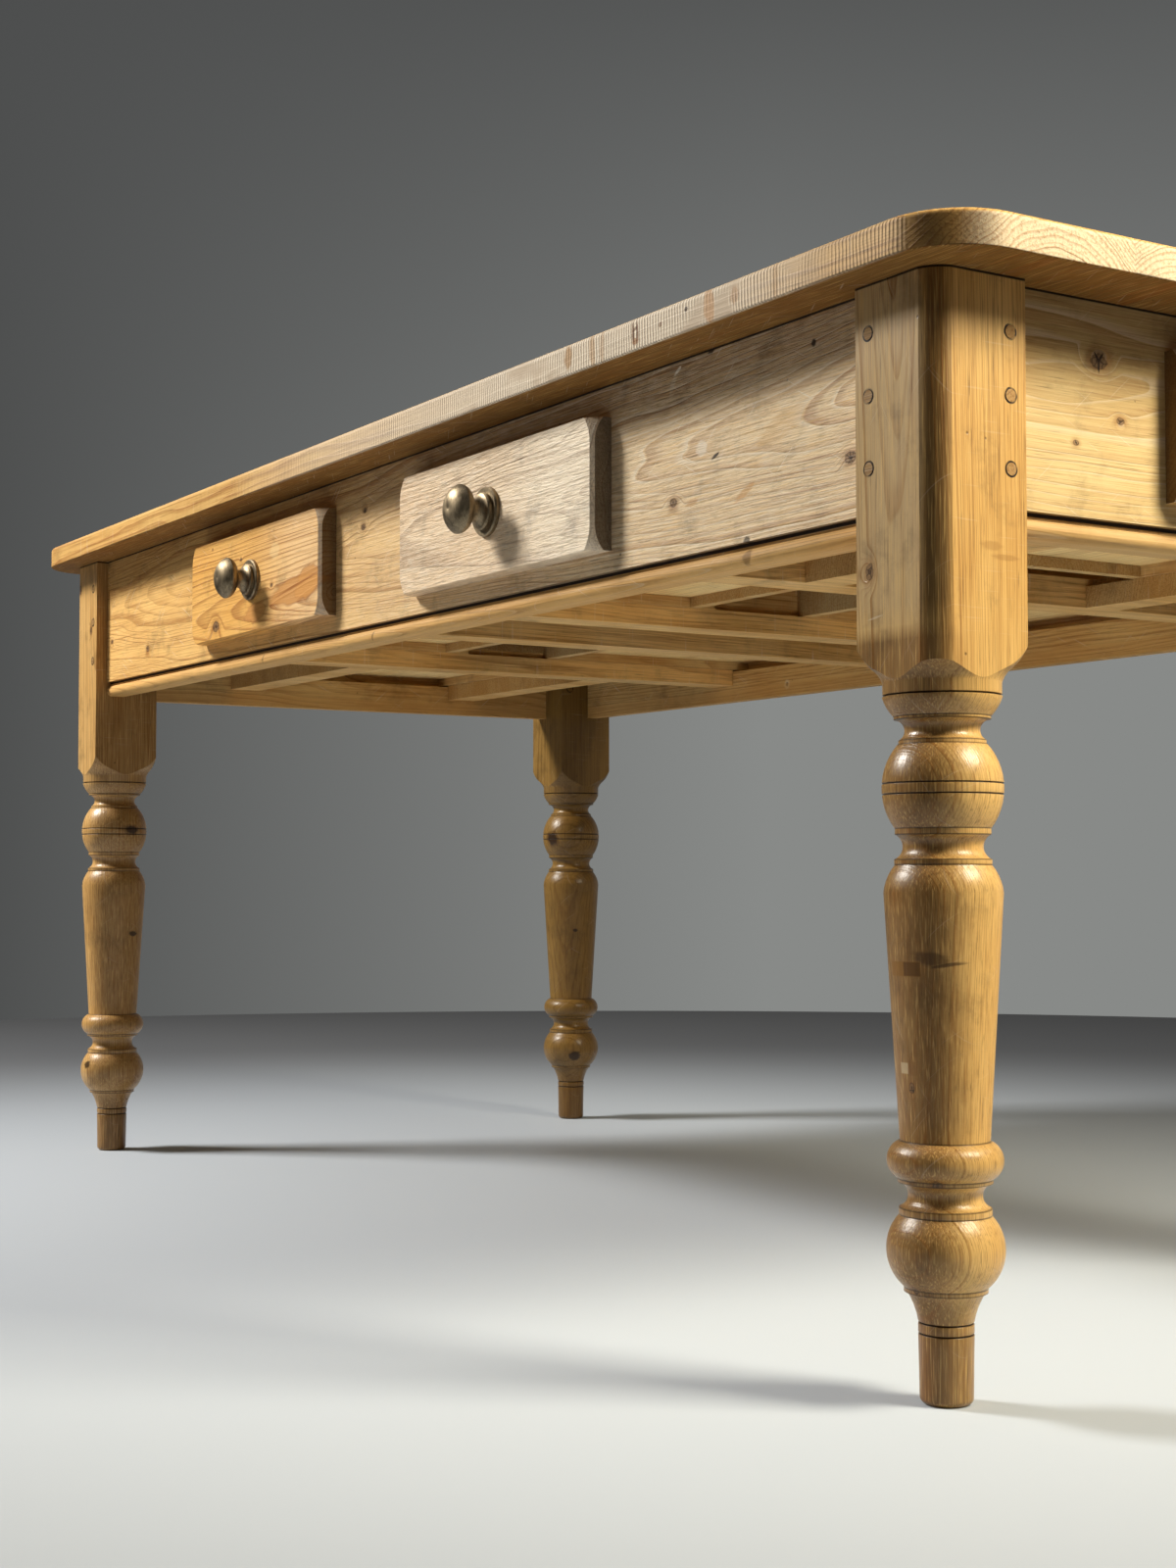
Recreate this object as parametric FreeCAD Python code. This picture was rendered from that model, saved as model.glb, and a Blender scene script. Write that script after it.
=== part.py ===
import FreeCAD, Part
import math
import os

from FreeCAD import Vector

# Farmhouse kitchen table with six drawers: two on each long side and one at each end.
# Millimetres. The origin is on the floor under the middle of the table. +X runs along the
# table to its right end, +Y runs to the back, and +Z is up.

# ---------------------------------------------------------------- table and top
table_height = 760.0
frame_length = 1650.0
frame_width = 757.0
top_end_overhang = 47.0
top_side_overhang = 32.0
top_thickness = 25.0
top_corner_radius = 55.0
top_upper_arris = 5.0
top_lower_arris = 1.5
top_board_count = 5

# ---------------------------------------------------------------- legs
leg_block = 79.0
leg_corner_width = 15.0
leg_corner_swell = 2.8

# Turned part of a leg, from the floor up: heights of the elements and their radii.
foot_rounding = 4.5
foot_height = 44.6
foot_bottom_radius = 17.5
foot_top_radius = 18.2
foot_band_height = 7.0
foot_groove_width = 1.6
foot_groove_depth = 1.2
ankle_flare_height = 19.0
ankle_flare_radius = 25.6
ankle_flare_hollow = 1.1
ankle_fillet_height = 3.1
ankle_fillet_radius = 27.4
lower_ball_height = 46.5
lower_ball_radius = 38.6
lower_ball_top_radius = 29.8
lower_fillet_height = 4.6
lower_fillet_radius = 30.2
lower_cove_height = 16.3
lower_cove_radius = 24.2
ring_fillet_height = 2.6
ring_fillet_radius = 31.0
ring_height = 24.6
ring_radius = 38.0
taper_height = 161.3
taper_bottom_radius = 29.4
taper_top_radius = 39.1
taper_shoulder_height = 18.4
taper_shoulder_bulge = 36.9
middle_fillet_height = 3.5
middle_fillet_radius = 31.9
middle_cove_height = 16.2
middle_cove_radius = 26.3
ball_fillet_height = 4.1
ball_fillet_radius = 31.4
ball_height = 55.2
ball_radius = 39.9
ball_top_radius = 29.4
ball_line_spacing = 7.2
ball_line_width = 1.4
ball_line_depth = 0.9
ball_line_drop = 25.8
neck_fillet_height = 2.7
neck_fillet_radius = 28.7
neck_cove_height = 13.7
neck_cove_radius = 24.7
neck_cove_low_point = 6.0
collar_fillet_height = 1.9
collar_fillet_radius = 31.8
collar_bead_height = 13.0
collar_bead_radius = 39.4
collar_bead_bulge = 36.6
collar_groove_width = 1.4
collar_groove_depth = 1.9
collar_height = 7.5
collar_radius = 39.0
block_shoulder_height = 26.3
block_shoulder_bend = 10.0
block_shoulder_waist = 46.0
block_shoulder_hollow = 1.2
block_shoulder_swell = 1.4
cove_step = 0.4

# ---------------------------------------------------------------- aprons
apron_recess = 14.0
apron_thickness = 22.0
apron_height = 168.0
bead_radius = 6.5
quirk_height = 4.6
quirk_depth = 5.0
tenon_thickness = 10.0
tenon_setback = 6.0
tenon_length = 45.0
tenon_top_gap = 18.0
tenon_bottom_gap = 24.0

# ---------------------------------------------------------------- pegs of the leg joints
peg_diameter = 9.0
peg_clearance = 0.1
peg_length = 45.0
peg_proud = 0.3
peg_inset = 13.8
peg_rise = [44.5, 93.0, 135.0]
peg_side_offset = -4.0

# ---------------------------------------------------------------- drawers
drawer_offset = 253.5
side_front_width = 336.0
end_front_width = 311.0
front_height = 107.0
front_thickness = 18.6
front_bottom_rise = 34.0
bevel_width = 3.3
bevel_corner_width = 12.3
bevel_sweep = 20.0
bevel_angle = 42.0
box_width = 300.0
side_drawer_length = 300.0
end_drawer_gap = 38.0
box_side_height = 90.0
box_back_drop = 10.0
box_board = 12.0
box_bottom_thickness = 6.0
box_bottom_rise = 10.0
groove_depth = 5.0
front_housing = 6.0
back_housing = 4.0
box_rise = 40.0
drawer_side_clearance = 1.0
drawer_top_clearance = 2.0
opening_clearance = 2.0

# ---------------------------------------------------------------- knobs and their screws
knob_base_radius = 21.5
knob_base_height = 4.2
knob_base_edge = 1.2
knob_step_radius = 16.3
knob_step_height = 4.0
knob_neck_radius = 9.6
knob_neck_height = 13.5
knob_neck_flare = 1.5
knob_head_radius = 21.3
knob_head_half = 9.5
knob_head_middle = 29.0
knob_screw_radius = 2.0
knob_screw_play = 0.2
knob_screw_depth = 12.0
knob_screw_head_radius = 4.2
knob_screw_head_height = 2.6

# ---------------------------------------------------------------- runners, kickers, stops
runner_ledge = 9.0
runner_ledge_thickness = 20.0
runner_lip = 30.0
runner_lip_height = 7.0
runner_tenon_length = 8.0
runner_tenon_height = 12.0
runner_tenon_shoulder = 4.0
kicker_width = 40.0
stop_length = 20.0
stop_height = 14.0
stop_gap = 0.5

# ---------------------------------------------------------------- screws of the top
screw_radius = 2.5
screw_head_radius = 4.8
screw_head_height = 3.0
screw_play = 0.15
screw_sink = 12.0
screw_bite = 15.0
screw_end_inset = 60.0
screws_per_long_kicker = 3
screws_per_short_kicker = 2

# ---------------------------------------------------------------- derived places
top_length = frame_length + 2 * top_end_overhang
top_width = frame_width + 2 * top_side_overhang
underside = table_height - top_thickness
half_block = leg_block / 2
leg_x = frame_length / 2 - half_block
leg_y = frame_width / 2 - half_block
block_inner_x = leg_x - half_block
block_inner_y = leg_y - half_block
apron_face_x = leg_x + half_block - apron_recess
apron_face_y = leg_y + half_block - apron_recess
apron_inner_x = apron_face_x - apron_thickness
apron_inner_y = apron_face_y - apron_thickness
apron_bottom = underside - apron_height
box_bottom = apron_bottom + box_rise
box_top = box_bottom + box_side_height
opening_bottom = box_bottom - opening_clearance
opening_top = box_top + drawer_top_clearance + opening_clearance
front_bottom = apron_bottom + front_bottom_rise
kicker_bottom = box_top + drawer_top_clearance
runner_bottom = box_bottom - runner_ledge_thickness
knob_height = front_bottom + front_height / 2
half_box = box_width / 2
runner_reach = drawer_side_clearance + runner_lip
long_runner_outer = drawer_offset + half_box + runner_reach
end_room = apron_face_x - long_runner_outer
# An end drawer fills its room up to its stop and a gap before the long runners.
end_drawer_length = end_room - end_drawer_gap - stop_length - stop_gap
kicker_outer = drawer_offset + half_box + kicker_width / 2

parts = {}


def box(x0, x1, y0, y1, z0, z1):
    """A rectangular block between two values on each axis."""
    return Part.makeBox(x1 - x0, y1 - y0, z1 - z0, Vector(x0, y0, z0))


def placed(shape, x, y, quarter_turns):
    """A copy of the shape, turned about the vertical by quarter turns and moved to x, y."""
    copy = shape.copy()
    copy.rotate(Vector(0, 0, 0), Vector(0, 0, 1), 90.0 * quarter_turns)
    copy.translate(Vector(x, y, 0))
    return copy


def prism(points, direction):
    """A solid with a polygon outline, pushed along a direction."""
    return Part.Face(Part.makePolygon(points + [points[0]])).extrude(direction)


class Turning:
    """Outline of a turned piece: radii against height, drawn from the bottom up."""

    def __init__(self, radius, height=0.0):
        self.bottom = height
        self.here = Vector(radius, 0, height)
        self.edges = [Part.LineSegment(Vector(0, 0, height), self.here).toShape()]

    def line(self, rise, radius):
        there = Vector(radius, 0, self.here.z + rise)
        if there.distanceToPoint(self.here) > 1e-6:
            self.edges.append(Part.LineSegment(self.here, there).toShape())
            self.here = there

    def curve(self, rise, radius, bulge, bulge_rise=None):
        """An arc to a radius, through the bulge radius at a given part of the rise."""
        at = rise / 2 if bulge_rise is None else bulge_rise
        middle = Vector(bulge, 0, self.here.z + at)
        there = Vector(radius, 0, self.here.z + rise)
        self.edges.append(Part.Arc(self.here, middle, there).toShape())
        self.here = there

    def groove(self, width, depth):
        """A V cut into the surface that keeps the same radius on both sides."""
        radius = self.here.x
        self.line(width / 2, radius - depth)
        self.line(width / 2, radius)

    def solid(self):
        end = Vector(0, 0, self.here.z)
        closing = [Part.LineSegment(self.here, end).toShape()]
        closing.append(Part.LineSegment(end, Vector(0, 0, self.bottom)).toShape())
        face = Part.Face(Part.Wire(self.edges + closing))
        return face.revolve(Vector(0, 0, 0), Vector(0, 0, 1), 360)


def arc_radius_at(start, end, bulge, rise, at):
    """Radius of the arc through two end radii and a bulge at mid rise, at a height."""
    first = Vector(start, 0, 0)
    middle = Vector(bulge, 0, rise / 2)
    last = Vector(end, 0, rise)
    circle = Part.Arc(first, middle, last).toShape().Curve
    inside = circle.Radius ** 2 - (at - circle.Center.z) ** 2
    return circle.Center.x + math.sqrt(inside)


# ---------------------------------------------------------------- legs
def turned_leg():
    """The round part of a leg, from the floor to the collar under the block."""
    leg = Turning(foot_bottom_radius - foot_rounding)
    slant = foot_rounding * (1 - math.sqrt(0.5))
    leg.curve(foot_rounding, foot_bottom_radius, foot_bottom_radius - slant, slant)
    leg.line(foot_height - foot_rounding, foot_top_radius)
    leg.groove(foot_groove_width, foot_groove_depth)
    leg.line(foot_band_height - foot_groove_width, foot_top_radius)
    leg.groove(foot_groove_width, foot_groove_depth)
    flare_middle = (foot_top_radius + ankle_flare_radius) / 2 - ankle_flare_hollow
    leg.curve(ankle_flare_height, ankle_flare_radius, flare_middle)
    leg.line(0, ankle_fillet_radius)
    leg.line(ankle_fillet_height, ankle_fillet_radius)
    leg.curve(lower_ball_height, lower_ball_top_radius, lower_ball_radius)
    leg.line(0, lower_fillet_radius)
    leg.line(lower_fillet_height, lower_fillet_radius)
    leg.curve(lower_cove_height, ring_fillet_radius - cove_step, lower_cove_radius)
    leg.line(0, ring_fillet_radius)
    leg.line(ring_fillet_height, ring_fillet_radius)
    leg.curve(ring_height, taper_bottom_radius, ring_radius)
    leg.line(taper_height, taper_top_radius)
    leg.curve(taper_shoulder_height, middle_fillet_radius - cove_step, taper_shoulder_bulge)
    leg.line(0, middle_fillet_radius)
    leg.line(middle_fillet_height, middle_fillet_radius)
    leg.curve(middle_cove_height, ball_fillet_radius - cove_step, middle_cove_radius)
    leg.line(0, ball_fillet_radius)
    leg.line(ball_fillet_height, ball_fillet_radius)
    leg.curve(ball_height, ball_top_radius, ball_radius)
    leg.line(0, neck_fillet_radius)
    leg.line(neck_fillet_height, neck_fillet_radius)
    leg.curve(neck_cove_height, collar_fillet_radius - cove_step, neck_cove_radius, neck_cove_low_point)
    leg.line(0, collar_fillet_radius)
    leg.line(collar_fillet_height, collar_fillet_radius)
    leg.curve(collar_bead_height, collar_bead_radius, collar_bead_bulge)
    leg.line(0, collar_radius)
    leg.groove(collar_groove_width, collar_groove_depth)
    leg.line(collar_height, collar_radius)
    solid = leg.solid()
    for cut in ball_lines():
        solid = solid.cut(cut)
    return solid, leg.here.z


def ball_bottom():
    """Height of the lower end of the upper ball."""
    lower = foot_height + foot_band_height + foot_groove_width + ankle_flare_height
    lower += ankle_fillet_height + lower_ball_height + lower_fillet_height
    lower += lower_cove_height + ring_fillet_height + ring_height
    upper = taper_height + taper_shoulder_height + middle_fillet_height
    return lower + upper + middle_cove_height + ball_fillet_height


def ball_lines():
    """Ring tools that cut the two fine lines round the upper ball."""
    tools = []
    for drop in (0.0, ball_line_spacing):
        rise = ball_height - ball_line_drop - drop
        radius = arc_radius_at(ball_fillet_radius, ball_top_radius, ball_radius, ball_height, rise)
        height = ball_bottom() + rise
        tip = Vector(radius - ball_line_depth, 0, height)
        low = Vector(radius + ball_line_depth, 0, height - ball_line_width)
        high = Vector(radius + ball_line_depth, 0, height + ball_line_width)
        face = Part.Face(Part.makePolygon([tip, low, high, tip]))
        tools.append(face.revolve(Vector(0, 0, 0), Vector(0, 0, 1), 360))
    return tools


def block_outline(height):
    """Square block outline with its outer corner, at +X and -Y, cut off and slightly swelled."""
    h = half_block
    cut = h - leg_corner_width
    out = (h + cut) / 2 + leg_corner_swell * math.sqrt(0.5)
    edges = [
        Part.LineSegment(Vector(-h, -h, height), Vector(cut, -h, height)).toShape(),
        Part.Arc(Vector(cut, -h, height), Vector(out, -out, height), Vector(h, -cut, height)).toShape(),
        Part.LineSegment(Vector(h, -cut, height), Vector(h, h, height)).toShape(),
        Part.LineSegment(Vector(h, h, height), Vector(-h, h, height)).toShape(),
        Part.LineSegment(Vector(-h, h, height), Vector(-h, -h, height)).toShape(),
    ]
    return Part.Face(Part.Wire(edges))


def leg_solid():
    """One leg with its axis on the origin and its outer corner at +X and -Y."""
    turned, collar_top = turned_leg()
    block_length = underside - collar_top
    square = block_outline(collar_top).extrude(Vector(0, 0, block_length))
    half_diagonal = half_block * math.sqrt(2) + 1.0
    shoulder = Turning(collar_radius, collar_top)
    waist_rise = block_shoulder_height - block_shoulder_bend
    low_middle = (collar_radius + block_shoulder_waist) / 2 - block_shoulder_hollow
    shoulder.curve(block_shoulder_bend, block_shoulder_waist, low_middle)
    high_middle = (block_shoulder_waist + half_diagonal) / 2 + block_shoulder_swell
    shoulder.curve(waist_rise, half_diagonal, high_middle)
    shoulder.line(block_length - block_shoulder_height, half_diagonal)
    block = square.common(shoulder.solid())
    return turned.fuse(block).removeSplitter()


# ---------------------------------------------------------------- aprons
def apron_section():
    """Apron section in the YZ plane: outer face at y = 0, bead along the lower edge."""
    top = underside
    bottom = apron_bottom
    bead_middle = bottom + bead_radius
    meet = math.sqrt(bead_radius ** 2 - (bead_radius - quirk_depth) ** 2)
    bead_end = Vector(0, quirk_depth, bead_middle + meet)
    quirk_top = bottom + 2 * bead_radius + quirk_height
    corners = [
        Vector(0, bead_radius, bottom),
        Vector(0, apron_thickness, bottom),
        Vector(0, apron_thickness, top),
        Vector(0, 0, top),
        Vector(0, 0, quirk_top),
        Vector(0, quirk_depth, quirk_top),
        bead_end,
    ]
    edges = [Part.LineSegment(a, b).toShape() for a, b in zip(corners, corners[1:])]
    edges.append(Part.Arc(bead_end, Vector(0, 0, bead_middle), corners[0]).toShape())
    return Part.Face(Part.Wire(edges))


def tenon_ends(half_length):
    """The two tenons of an apron, at both ends of its length."""
    low = apron_bottom + tenon_bottom_gap
    high = underside - tenon_top_gap
    back = tenon_setback + tenon_thickness
    right = box(half_length, half_length + tenon_length, tenon_setback, back, low, high)
    left = box(-half_length - tenon_length, -half_length, tenon_setback, back, low, high)
    return [left, right]


def apron_solid(half_length, drawer_places):
    """An apron facing -Y, with its outer face at y = 0 and an opening for each drawer."""
    section = apron_section()
    section.translate(Vector(-half_length, 0, 0))
    apron = section.extrude(Vector(2 * half_length, 0, 0))
    apron = apron.multiFuse(tenon_ends(half_length)).removeSplitter()
    half_opening = half_box + drawer_side_clearance
    for x in drawer_places:
        apron = apron.cut(
            box(x - half_opening, x + half_opening, -1, apron_thickness + 1, opening_bottom, opening_top)
        )
    return apron


def pegs_at(block_centre, side_offset):
    """Three pegs driven in from the face at -Y, beside the end of the apron at -X."""
    x = block_centre - half_block + peg_inset
    start = -apron_recess - peg_proud
    pegs = []
    for rise in peg_rise:
        centre = Vector(x, start, apron_bottom + rise + side_offset)
        pegs.append((centre, peg_length + peg_proud))
    return pegs


def peg_cylinders(places, extra_radius):
    """Cylinders along +Y at the places of the pegs."""
    solids = []
    for centre, length in places:
        radius = peg_diameter / 2 + extra_radius
        solids.append(Part.makeCylinder(radius, length, centre, Vector(0, 1, 0)))
    return solids


# ---------------------------------------------------------------- runners and kickers
def ell_runner(length, mirrored):
    """An L-shaped runner along +Y from y = 0: a ledge under a drawer side, a lip beside it."""
    inner = half_box - runner_ledge
    lip = half_box + drawer_side_clearance
    outer = half_box + runner_reach
    low = runner_bottom
    corners = [
        Vector(inner, 0, low),
        Vector(outer, 0, low),
        Vector(outer, 0, box_bottom + runner_lip_height),
        Vector(lip, 0, box_bottom + runner_lip_height),
        Vector(lip, 0, box_bottom),
        Vector(inner, 0, box_bottom),
    ]
    if mirrored:
        corners = [Vector(-c.x, c.y, c.z) for c in corners]
    return prism(corners, Vector(0, length, 0))


def runner_tenon(y, mirrored):
    """Stub tenon on the end of a runner, reaching along +Y from y."""
    inner = half_box - runner_ledge + runner_tenon_shoulder
    outer = half_box + runner_reach - runner_tenon_shoulder
    low = runner_bottom + runner_tenon_shoulder
    x0, x1 = (-outer, -inner) if mirrored else (inner, outer)
    return box(x0, x1, y, y + runner_tenon_length, low, low + runner_tenon_height)


def screw_solid(x, y):
    """Countersunk-head screw standing on +Z, up through a kicker into the top."""
    seat = kicker_bottom + screw_sink
    tip = underside + screw_bite
    head = Part.makeCone(screw_head_radius, screw_radius, screw_head_height, Vector(x, y, seat))
    shank_start = seat + screw_head_height
    shank = Part.makeCylinder(screw_radius, tip - shank_start, Vector(x, y, shank_start))
    return head.fuse(shank).removeSplitter()


def screw_hole(x, y):
    """Hole for one screw of the top: a bore for the head, then a seat, then the shank."""
    seat = kicker_bottom + screw_sink
    wide = screw_head_radius + screw_play
    narrow = screw_radius + screw_play
    bore = Part.makeCylinder(wide, screw_sink + 1, Vector(x, y, kicker_bottom - 1))
    cone = Part.makeCone(wide, narrow, screw_head_height, Vector(x, y, seat))
    tip = underside + screw_bite + screw_play
    shank_start = seat + screw_head_height
    shank = Part.makeCylinder(narrow, tip - shank_start, Vector(x, y, shank_start))
    return bore.fuse([cone, shank]).removeSplitter()


def evenly(count, low, high):
    """Places from low to high with equal steps between them."""
    step = (high - low) / (count - 1)
    return [low + i * step for i in range(count)]


# ---------------------------------------------------------------- drawers
def end_bevel_tool(half_width):
    """What a bevel takes off the right end of a front: narrow midway, swept wide at the corners."""
    middle_z = front_bottom + front_height / 2
    angle = math.radians(bevel_angle)
    half_height = front_height / 2
    straight = half_height - bevel_sweep
    sagitta = (bevel_corner_width - bevel_width) * math.sin(angle)
    sweep_radius = (bevel_sweep ** 2 + sagitta ** 2) / (2 * sagitta)
    half_turn = math.asin(bevel_sweep / sweep_radius) / 2
    sag_midway = sweep_radius * (1 - math.cos(half_turn))
    rise_midway = straight + sweep_radius * math.sin(half_turn)
    reach = 4 * front_thickness + bevel_corner_width
    # The cut is drawn on a plane square to the bevel's slope, then pushed along the slope.
    slope = Vector(math.cos(angle), math.sin(angle), 0)
    outward = Vector(math.sin(angle), -math.cos(angle), 0)
    edge = Vector(half_width - bevel_width, -front_thickness, middle_z) - slope * reach

    def point(out, up):
        return edge + outward * out + Vector(0, 0, up)

    margin = front_thickness
    edges = []
    for side in (1, -1):
        sweep = Part.Arc(
            point(0, side * straight),
            point(-sag_midway, side * rise_midway),
            point(-sagitta, side * half_height),
        )
        edges.append(sweep.toShape())
    corners = [
        point(-sagitta, half_height),
        point(-sagitta, half_height + margin),
        point(2 * margin, half_height + margin),
        point(2 * margin, -half_height - margin),
        point(-sagitta, -half_height - margin),
        point(-sagitta, -half_height),
    ]
    edges += [Part.LineSegment(a, b).toShape() for a, b in zip(corners, corners[1:])]
    edges.append(Part.LineSegment(point(0, -straight), point(0, straight)).toShape())
    outline = Part.Wire(Part.__sortEdges__(edges))
    return Part.Face(outline).extrude(slope * (2 * reach))


def drawer_front(half_width):
    """Thick front with bevelled ends, housings for the sides and a groove for the bottom."""
    top = front_bottom + front_height
    front = box(-half_width, half_width, -front_thickness, 0, front_bottom, top)
    tool = end_bevel_tool(half_width)
    other = tool.mirror(Vector(0, 0, 0), Vector(1, 0, 0))
    cuts = [tool, other]
    for side in (-1, 1):
        x = sorted((side * half_box, side * (half_box - box_board)))
        cuts.append(box(x[0], x[1], -front_housing, 1, box_bottom, box_top))
    reach = half_box - box_board + groove_depth
    groove_low = box_bottom + box_bottom_rise
    cuts.append(box(-reach, reach, -groove_depth, 1, groove_low, groove_low + box_bottom_thickness))
    hole = knob_screw_radius + knob_screw_play
    start = Vector(0, -front_thickness - 1, knob_height)
    cuts.append(Part.makeCylinder(hole, front_thickness + 2, start, Vector(0, 1, 0)))
    return front.cut(cuts[0]).cut(cuts[1]).cut(cuts[2:])


def drawer_side(drawer_length, mirrored):
    """Side board with a groove for the bottom and a rebate for the back."""
    inner = half_box - box_board
    side = box(inner, half_box, -front_housing, drawer_length, box_bottom, box_top)
    low = box_bottom + box_bottom_rise
    near = drawer_length - box_board
    groove = box(inner - 1, inner + groove_depth, -front_housing - 1, near + groove_depth,
                 low, low + box_bottom_thickness)
    rebate = box(inner - 1, inner + back_housing, near, drawer_length + 1,
                 box_bottom - 1, box_top + 1)
    side = side.cut([groove, rebate])
    return side.mirror(Vector(0, 0, 0), Vector(1, 0, 0)) if mirrored else side


def drawer_back(drawer_length):
    """Back board held in the rebates of the sides, lower than they are, grooved for the bottom."""
    reach = half_box - box_board + back_housing
    near = drawer_length - box_board
    back = box(-reach, reach, near, drawer_length, box_bottom, box_top - box_back_drop)
    low = box_bottom + box_bottom_rise
    inner = half_box - box_board + groove_depth
    return back.cut(box(-inner, inner, near - 1, near + groove_depth, low, low + box_bottom_thickness))


def drawer_bottom(drawer_length):
    """Thin bottom panel held in the grooves on all four sides."""
    reach = half_box - box_board + groove_depth
    low = box_bottom + box_bottom_rise
    far = drawer_length - box_board + groove_depth
    return box(-reach, reach, -groove_depth, far, low, low + box_bottom_thickness)


def knob_solid():
    """Turned metal knob standing on z = 0: stepped round base, neck and flattened ball head."""
    knob = Turning(knob_base_radius)
    knob.line(knob_base_height - knob_base_edge, knob_base_radius)
    knob.line(knob_base_edge, knob_base_radius - knob_base_edge)
    knob.line(0, knob_step_radius)
    knob.line(knob_step_height - knob_base_edge, knob_step_radius)
    knob.line(knob_base_edge, knob_step_radius - knob_base_edge)
    head_low = knob_head_middle - knob_head_half
    neck_low = knob_base_height + knob_step_height
    under_radius = knob_neck_radius + knob_neck_flare
    at = knob_neck_height - neck_low
    knob.curve(head_low + knob_neck_flare - neck_low, under_radius, knob_neck_radius, at)
    # The head swells out to its widest place, then closes over a low dome.
    lower = knob_head_radius * 0.86 + under_radius * 0.14
    lower_rise = knob_head_half - knob_neck_flare
    knob.curve(lower_rise, knob_head_radius, lower, lower_rise * 0.42)
    crown = knob_head_radius * 0.04
    knob.curve(knob_head_half, crown, knob_head_radius * 0.74, knob_head_half * 0.66)
    solid = knob.solid()
    bore_radius = knob_screw_radius + knob_screw_play
    bore = Part.makeCylinder(bore_radius, knob_screw_depth + 1, Vector(0, 0, -1))
    return solid.cut(bore)


def knob_screw_solid():
    """Machine screw through the front into the knob, pointing along +Z from the knob's face."""
    shank_length = front_thickness + knob_screw_depth - 1
    shank = Part.makeCylinder(knob_screw_radius, shank_length, Vector(0, 0, -front_thickness))
    under = Vector(0, 0, -front_thickness - knob_screw_head_height)
    head = Part.makeCylinder(knob_screw_head_radius, knob_screw_head_height, under)
    return shank.fuse(head).removeSplitter()


def on_front(shape):
    """A piece drawn along +Z, laid along -Y on the middle of a drawer front's face."""
    laid = shape.copy()
    laid.rotate(Vector(0, 0, 0), Vector(1, 0, 0), 90)
    laid.translate(Vector(0, -front_thickness, knob_height))
    return laid


def drawer_pieces(front_width, drawer_length):
    """The seven pieces of one drawer that faces -Y, with the apron's face at y = 0."""
    return {
        "front": drawer_front(front_width / 2),
        "side_left": drawer_side(drawer_length, True),
        "side_right": drawer_side(drawer_length, False),
        "back": drawer_back(drawer_length),
        "bottom": drawer_bottom(drawer_length),
        "knob": on_front(knob_solid()),
        "knob_screw": on_front(knob_screw_solid()),
    }


# ---------------------------------------------------------------- assembly
# Each side of the frame: name, distance of its apron face, quarter turns from facing -Y,
# half length between the leg blocks, and the places of its drawers along it.
sides = [
    ("front", Vector(0, -apron_face_y, 0), 0, block_inner_x, [-drawer_offset, drawer_offset]),
    ("right", Vector(apron_face_x, 0, 0), 1, block_inner_y, [0.0]),
    ("back", Vector(0, apron_face_y, 0), 2, block_inner_x, [-drawer_offset, drawer_offset]),
    ("left", Vector(-apron_face_x, 0, 0), 3, block_inner_y, [0.0]),
]

# Aprons, their tenons, and the pegs through them.
tenons = []
pegs = []
peg_bores = []
for name, place, turns, half_length, drawer_places in sides:
    apron = apron_solid(half_length, drawer_places)
    parts["apron_" + name] = placed(apron, place.x, place.y, turns)
    tenons += [placed(t, place.x, place.y, turns) for t in tenon_ends(half_length)]
    side_offset = 0.0 if name in ("front", "back") else peg_side_offset
    for end in (-1, 1):
        centre = half_length + half_block
        for solid_list, extra in ((pegs, 0.0), (peg_bores, peg_clearance)):
            for solid in peg_cylinders(pegs_at(centre, side_offset), extra):
                if end < 0:
                    solid = solid.mirror(Vector(0, 0, 0), Vector(1, 0, 0))
                solid_list.append(placed(solid, place.x, place.y, turns))
parts["joint_pegs"] = Part.makeCompound(pegs)
for name, place, turns, half_length, drawer_places in sides:
    parts["apron_" + name] = parts["apron_" + name].cut(peg_bores)

# Legs: front right first, then round the table by quarter turns.
leg = leg_solid()
leg_places = [
    ("leg_front_right", leg_x, -leg_y),
    ("leg_back_right", leg_x, leg_y),
    ("leg_back_left", -leg_x, leg_y),
    ("leg_front_left", -leg_x, -leg_y),
]
for turns, (name, x, y) in enumerate(leg_places):
    parts[name] = placed(leg, x, y, turns).cut(tenons + peg_bores)

# Runners: two for each bay from the front apron to the back one, and short ones at the ends.
runners = []
runner_tenons = []
long_length = 2 * apron_inner_y
short_length = apron_inner_x - long_runner_outer
for bay in (-drawer_offset, drawer_offset):
    for mirrored in (True, False):
        body = ell_runner(long_length, mirrored)
        ends = [runner_tenon(-runner_tenon_length, mirrored), runner_tenon(long_length, mirrored)]
        for piece in ends:
            piece.translate(Vector(bay, -apron_inner_y, 0))
        body.translate(Vector(bay, -apron_inner_y, 0))
        runner_tenons += ends
        runners.append(body.fuse(ends).removeSplitter())
for turns, sign in ((1, 1), (3, -1)):
    for mirrored in (True, False):
        # Drawn with the apron's inner face at y = 0 and turned to face the end of the table.
        body = ell_runner(short_length, mirrored)
        end = runner_tenon(-runner_tenon_length, mirrored)
        body = placed(body, sign * apron_inner_x, 0, turns)
        end = placed(end, sign * apron_inner_x, 0, turns)
        runner_tenons.append(end)
        runners.append(body.fuse(end).removeSplitter())
for name, place, turns, half_length, drawer_places in sides:
    parts["apron_" + name] = parts["apron_" + name].cut(runner_tenons)

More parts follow.
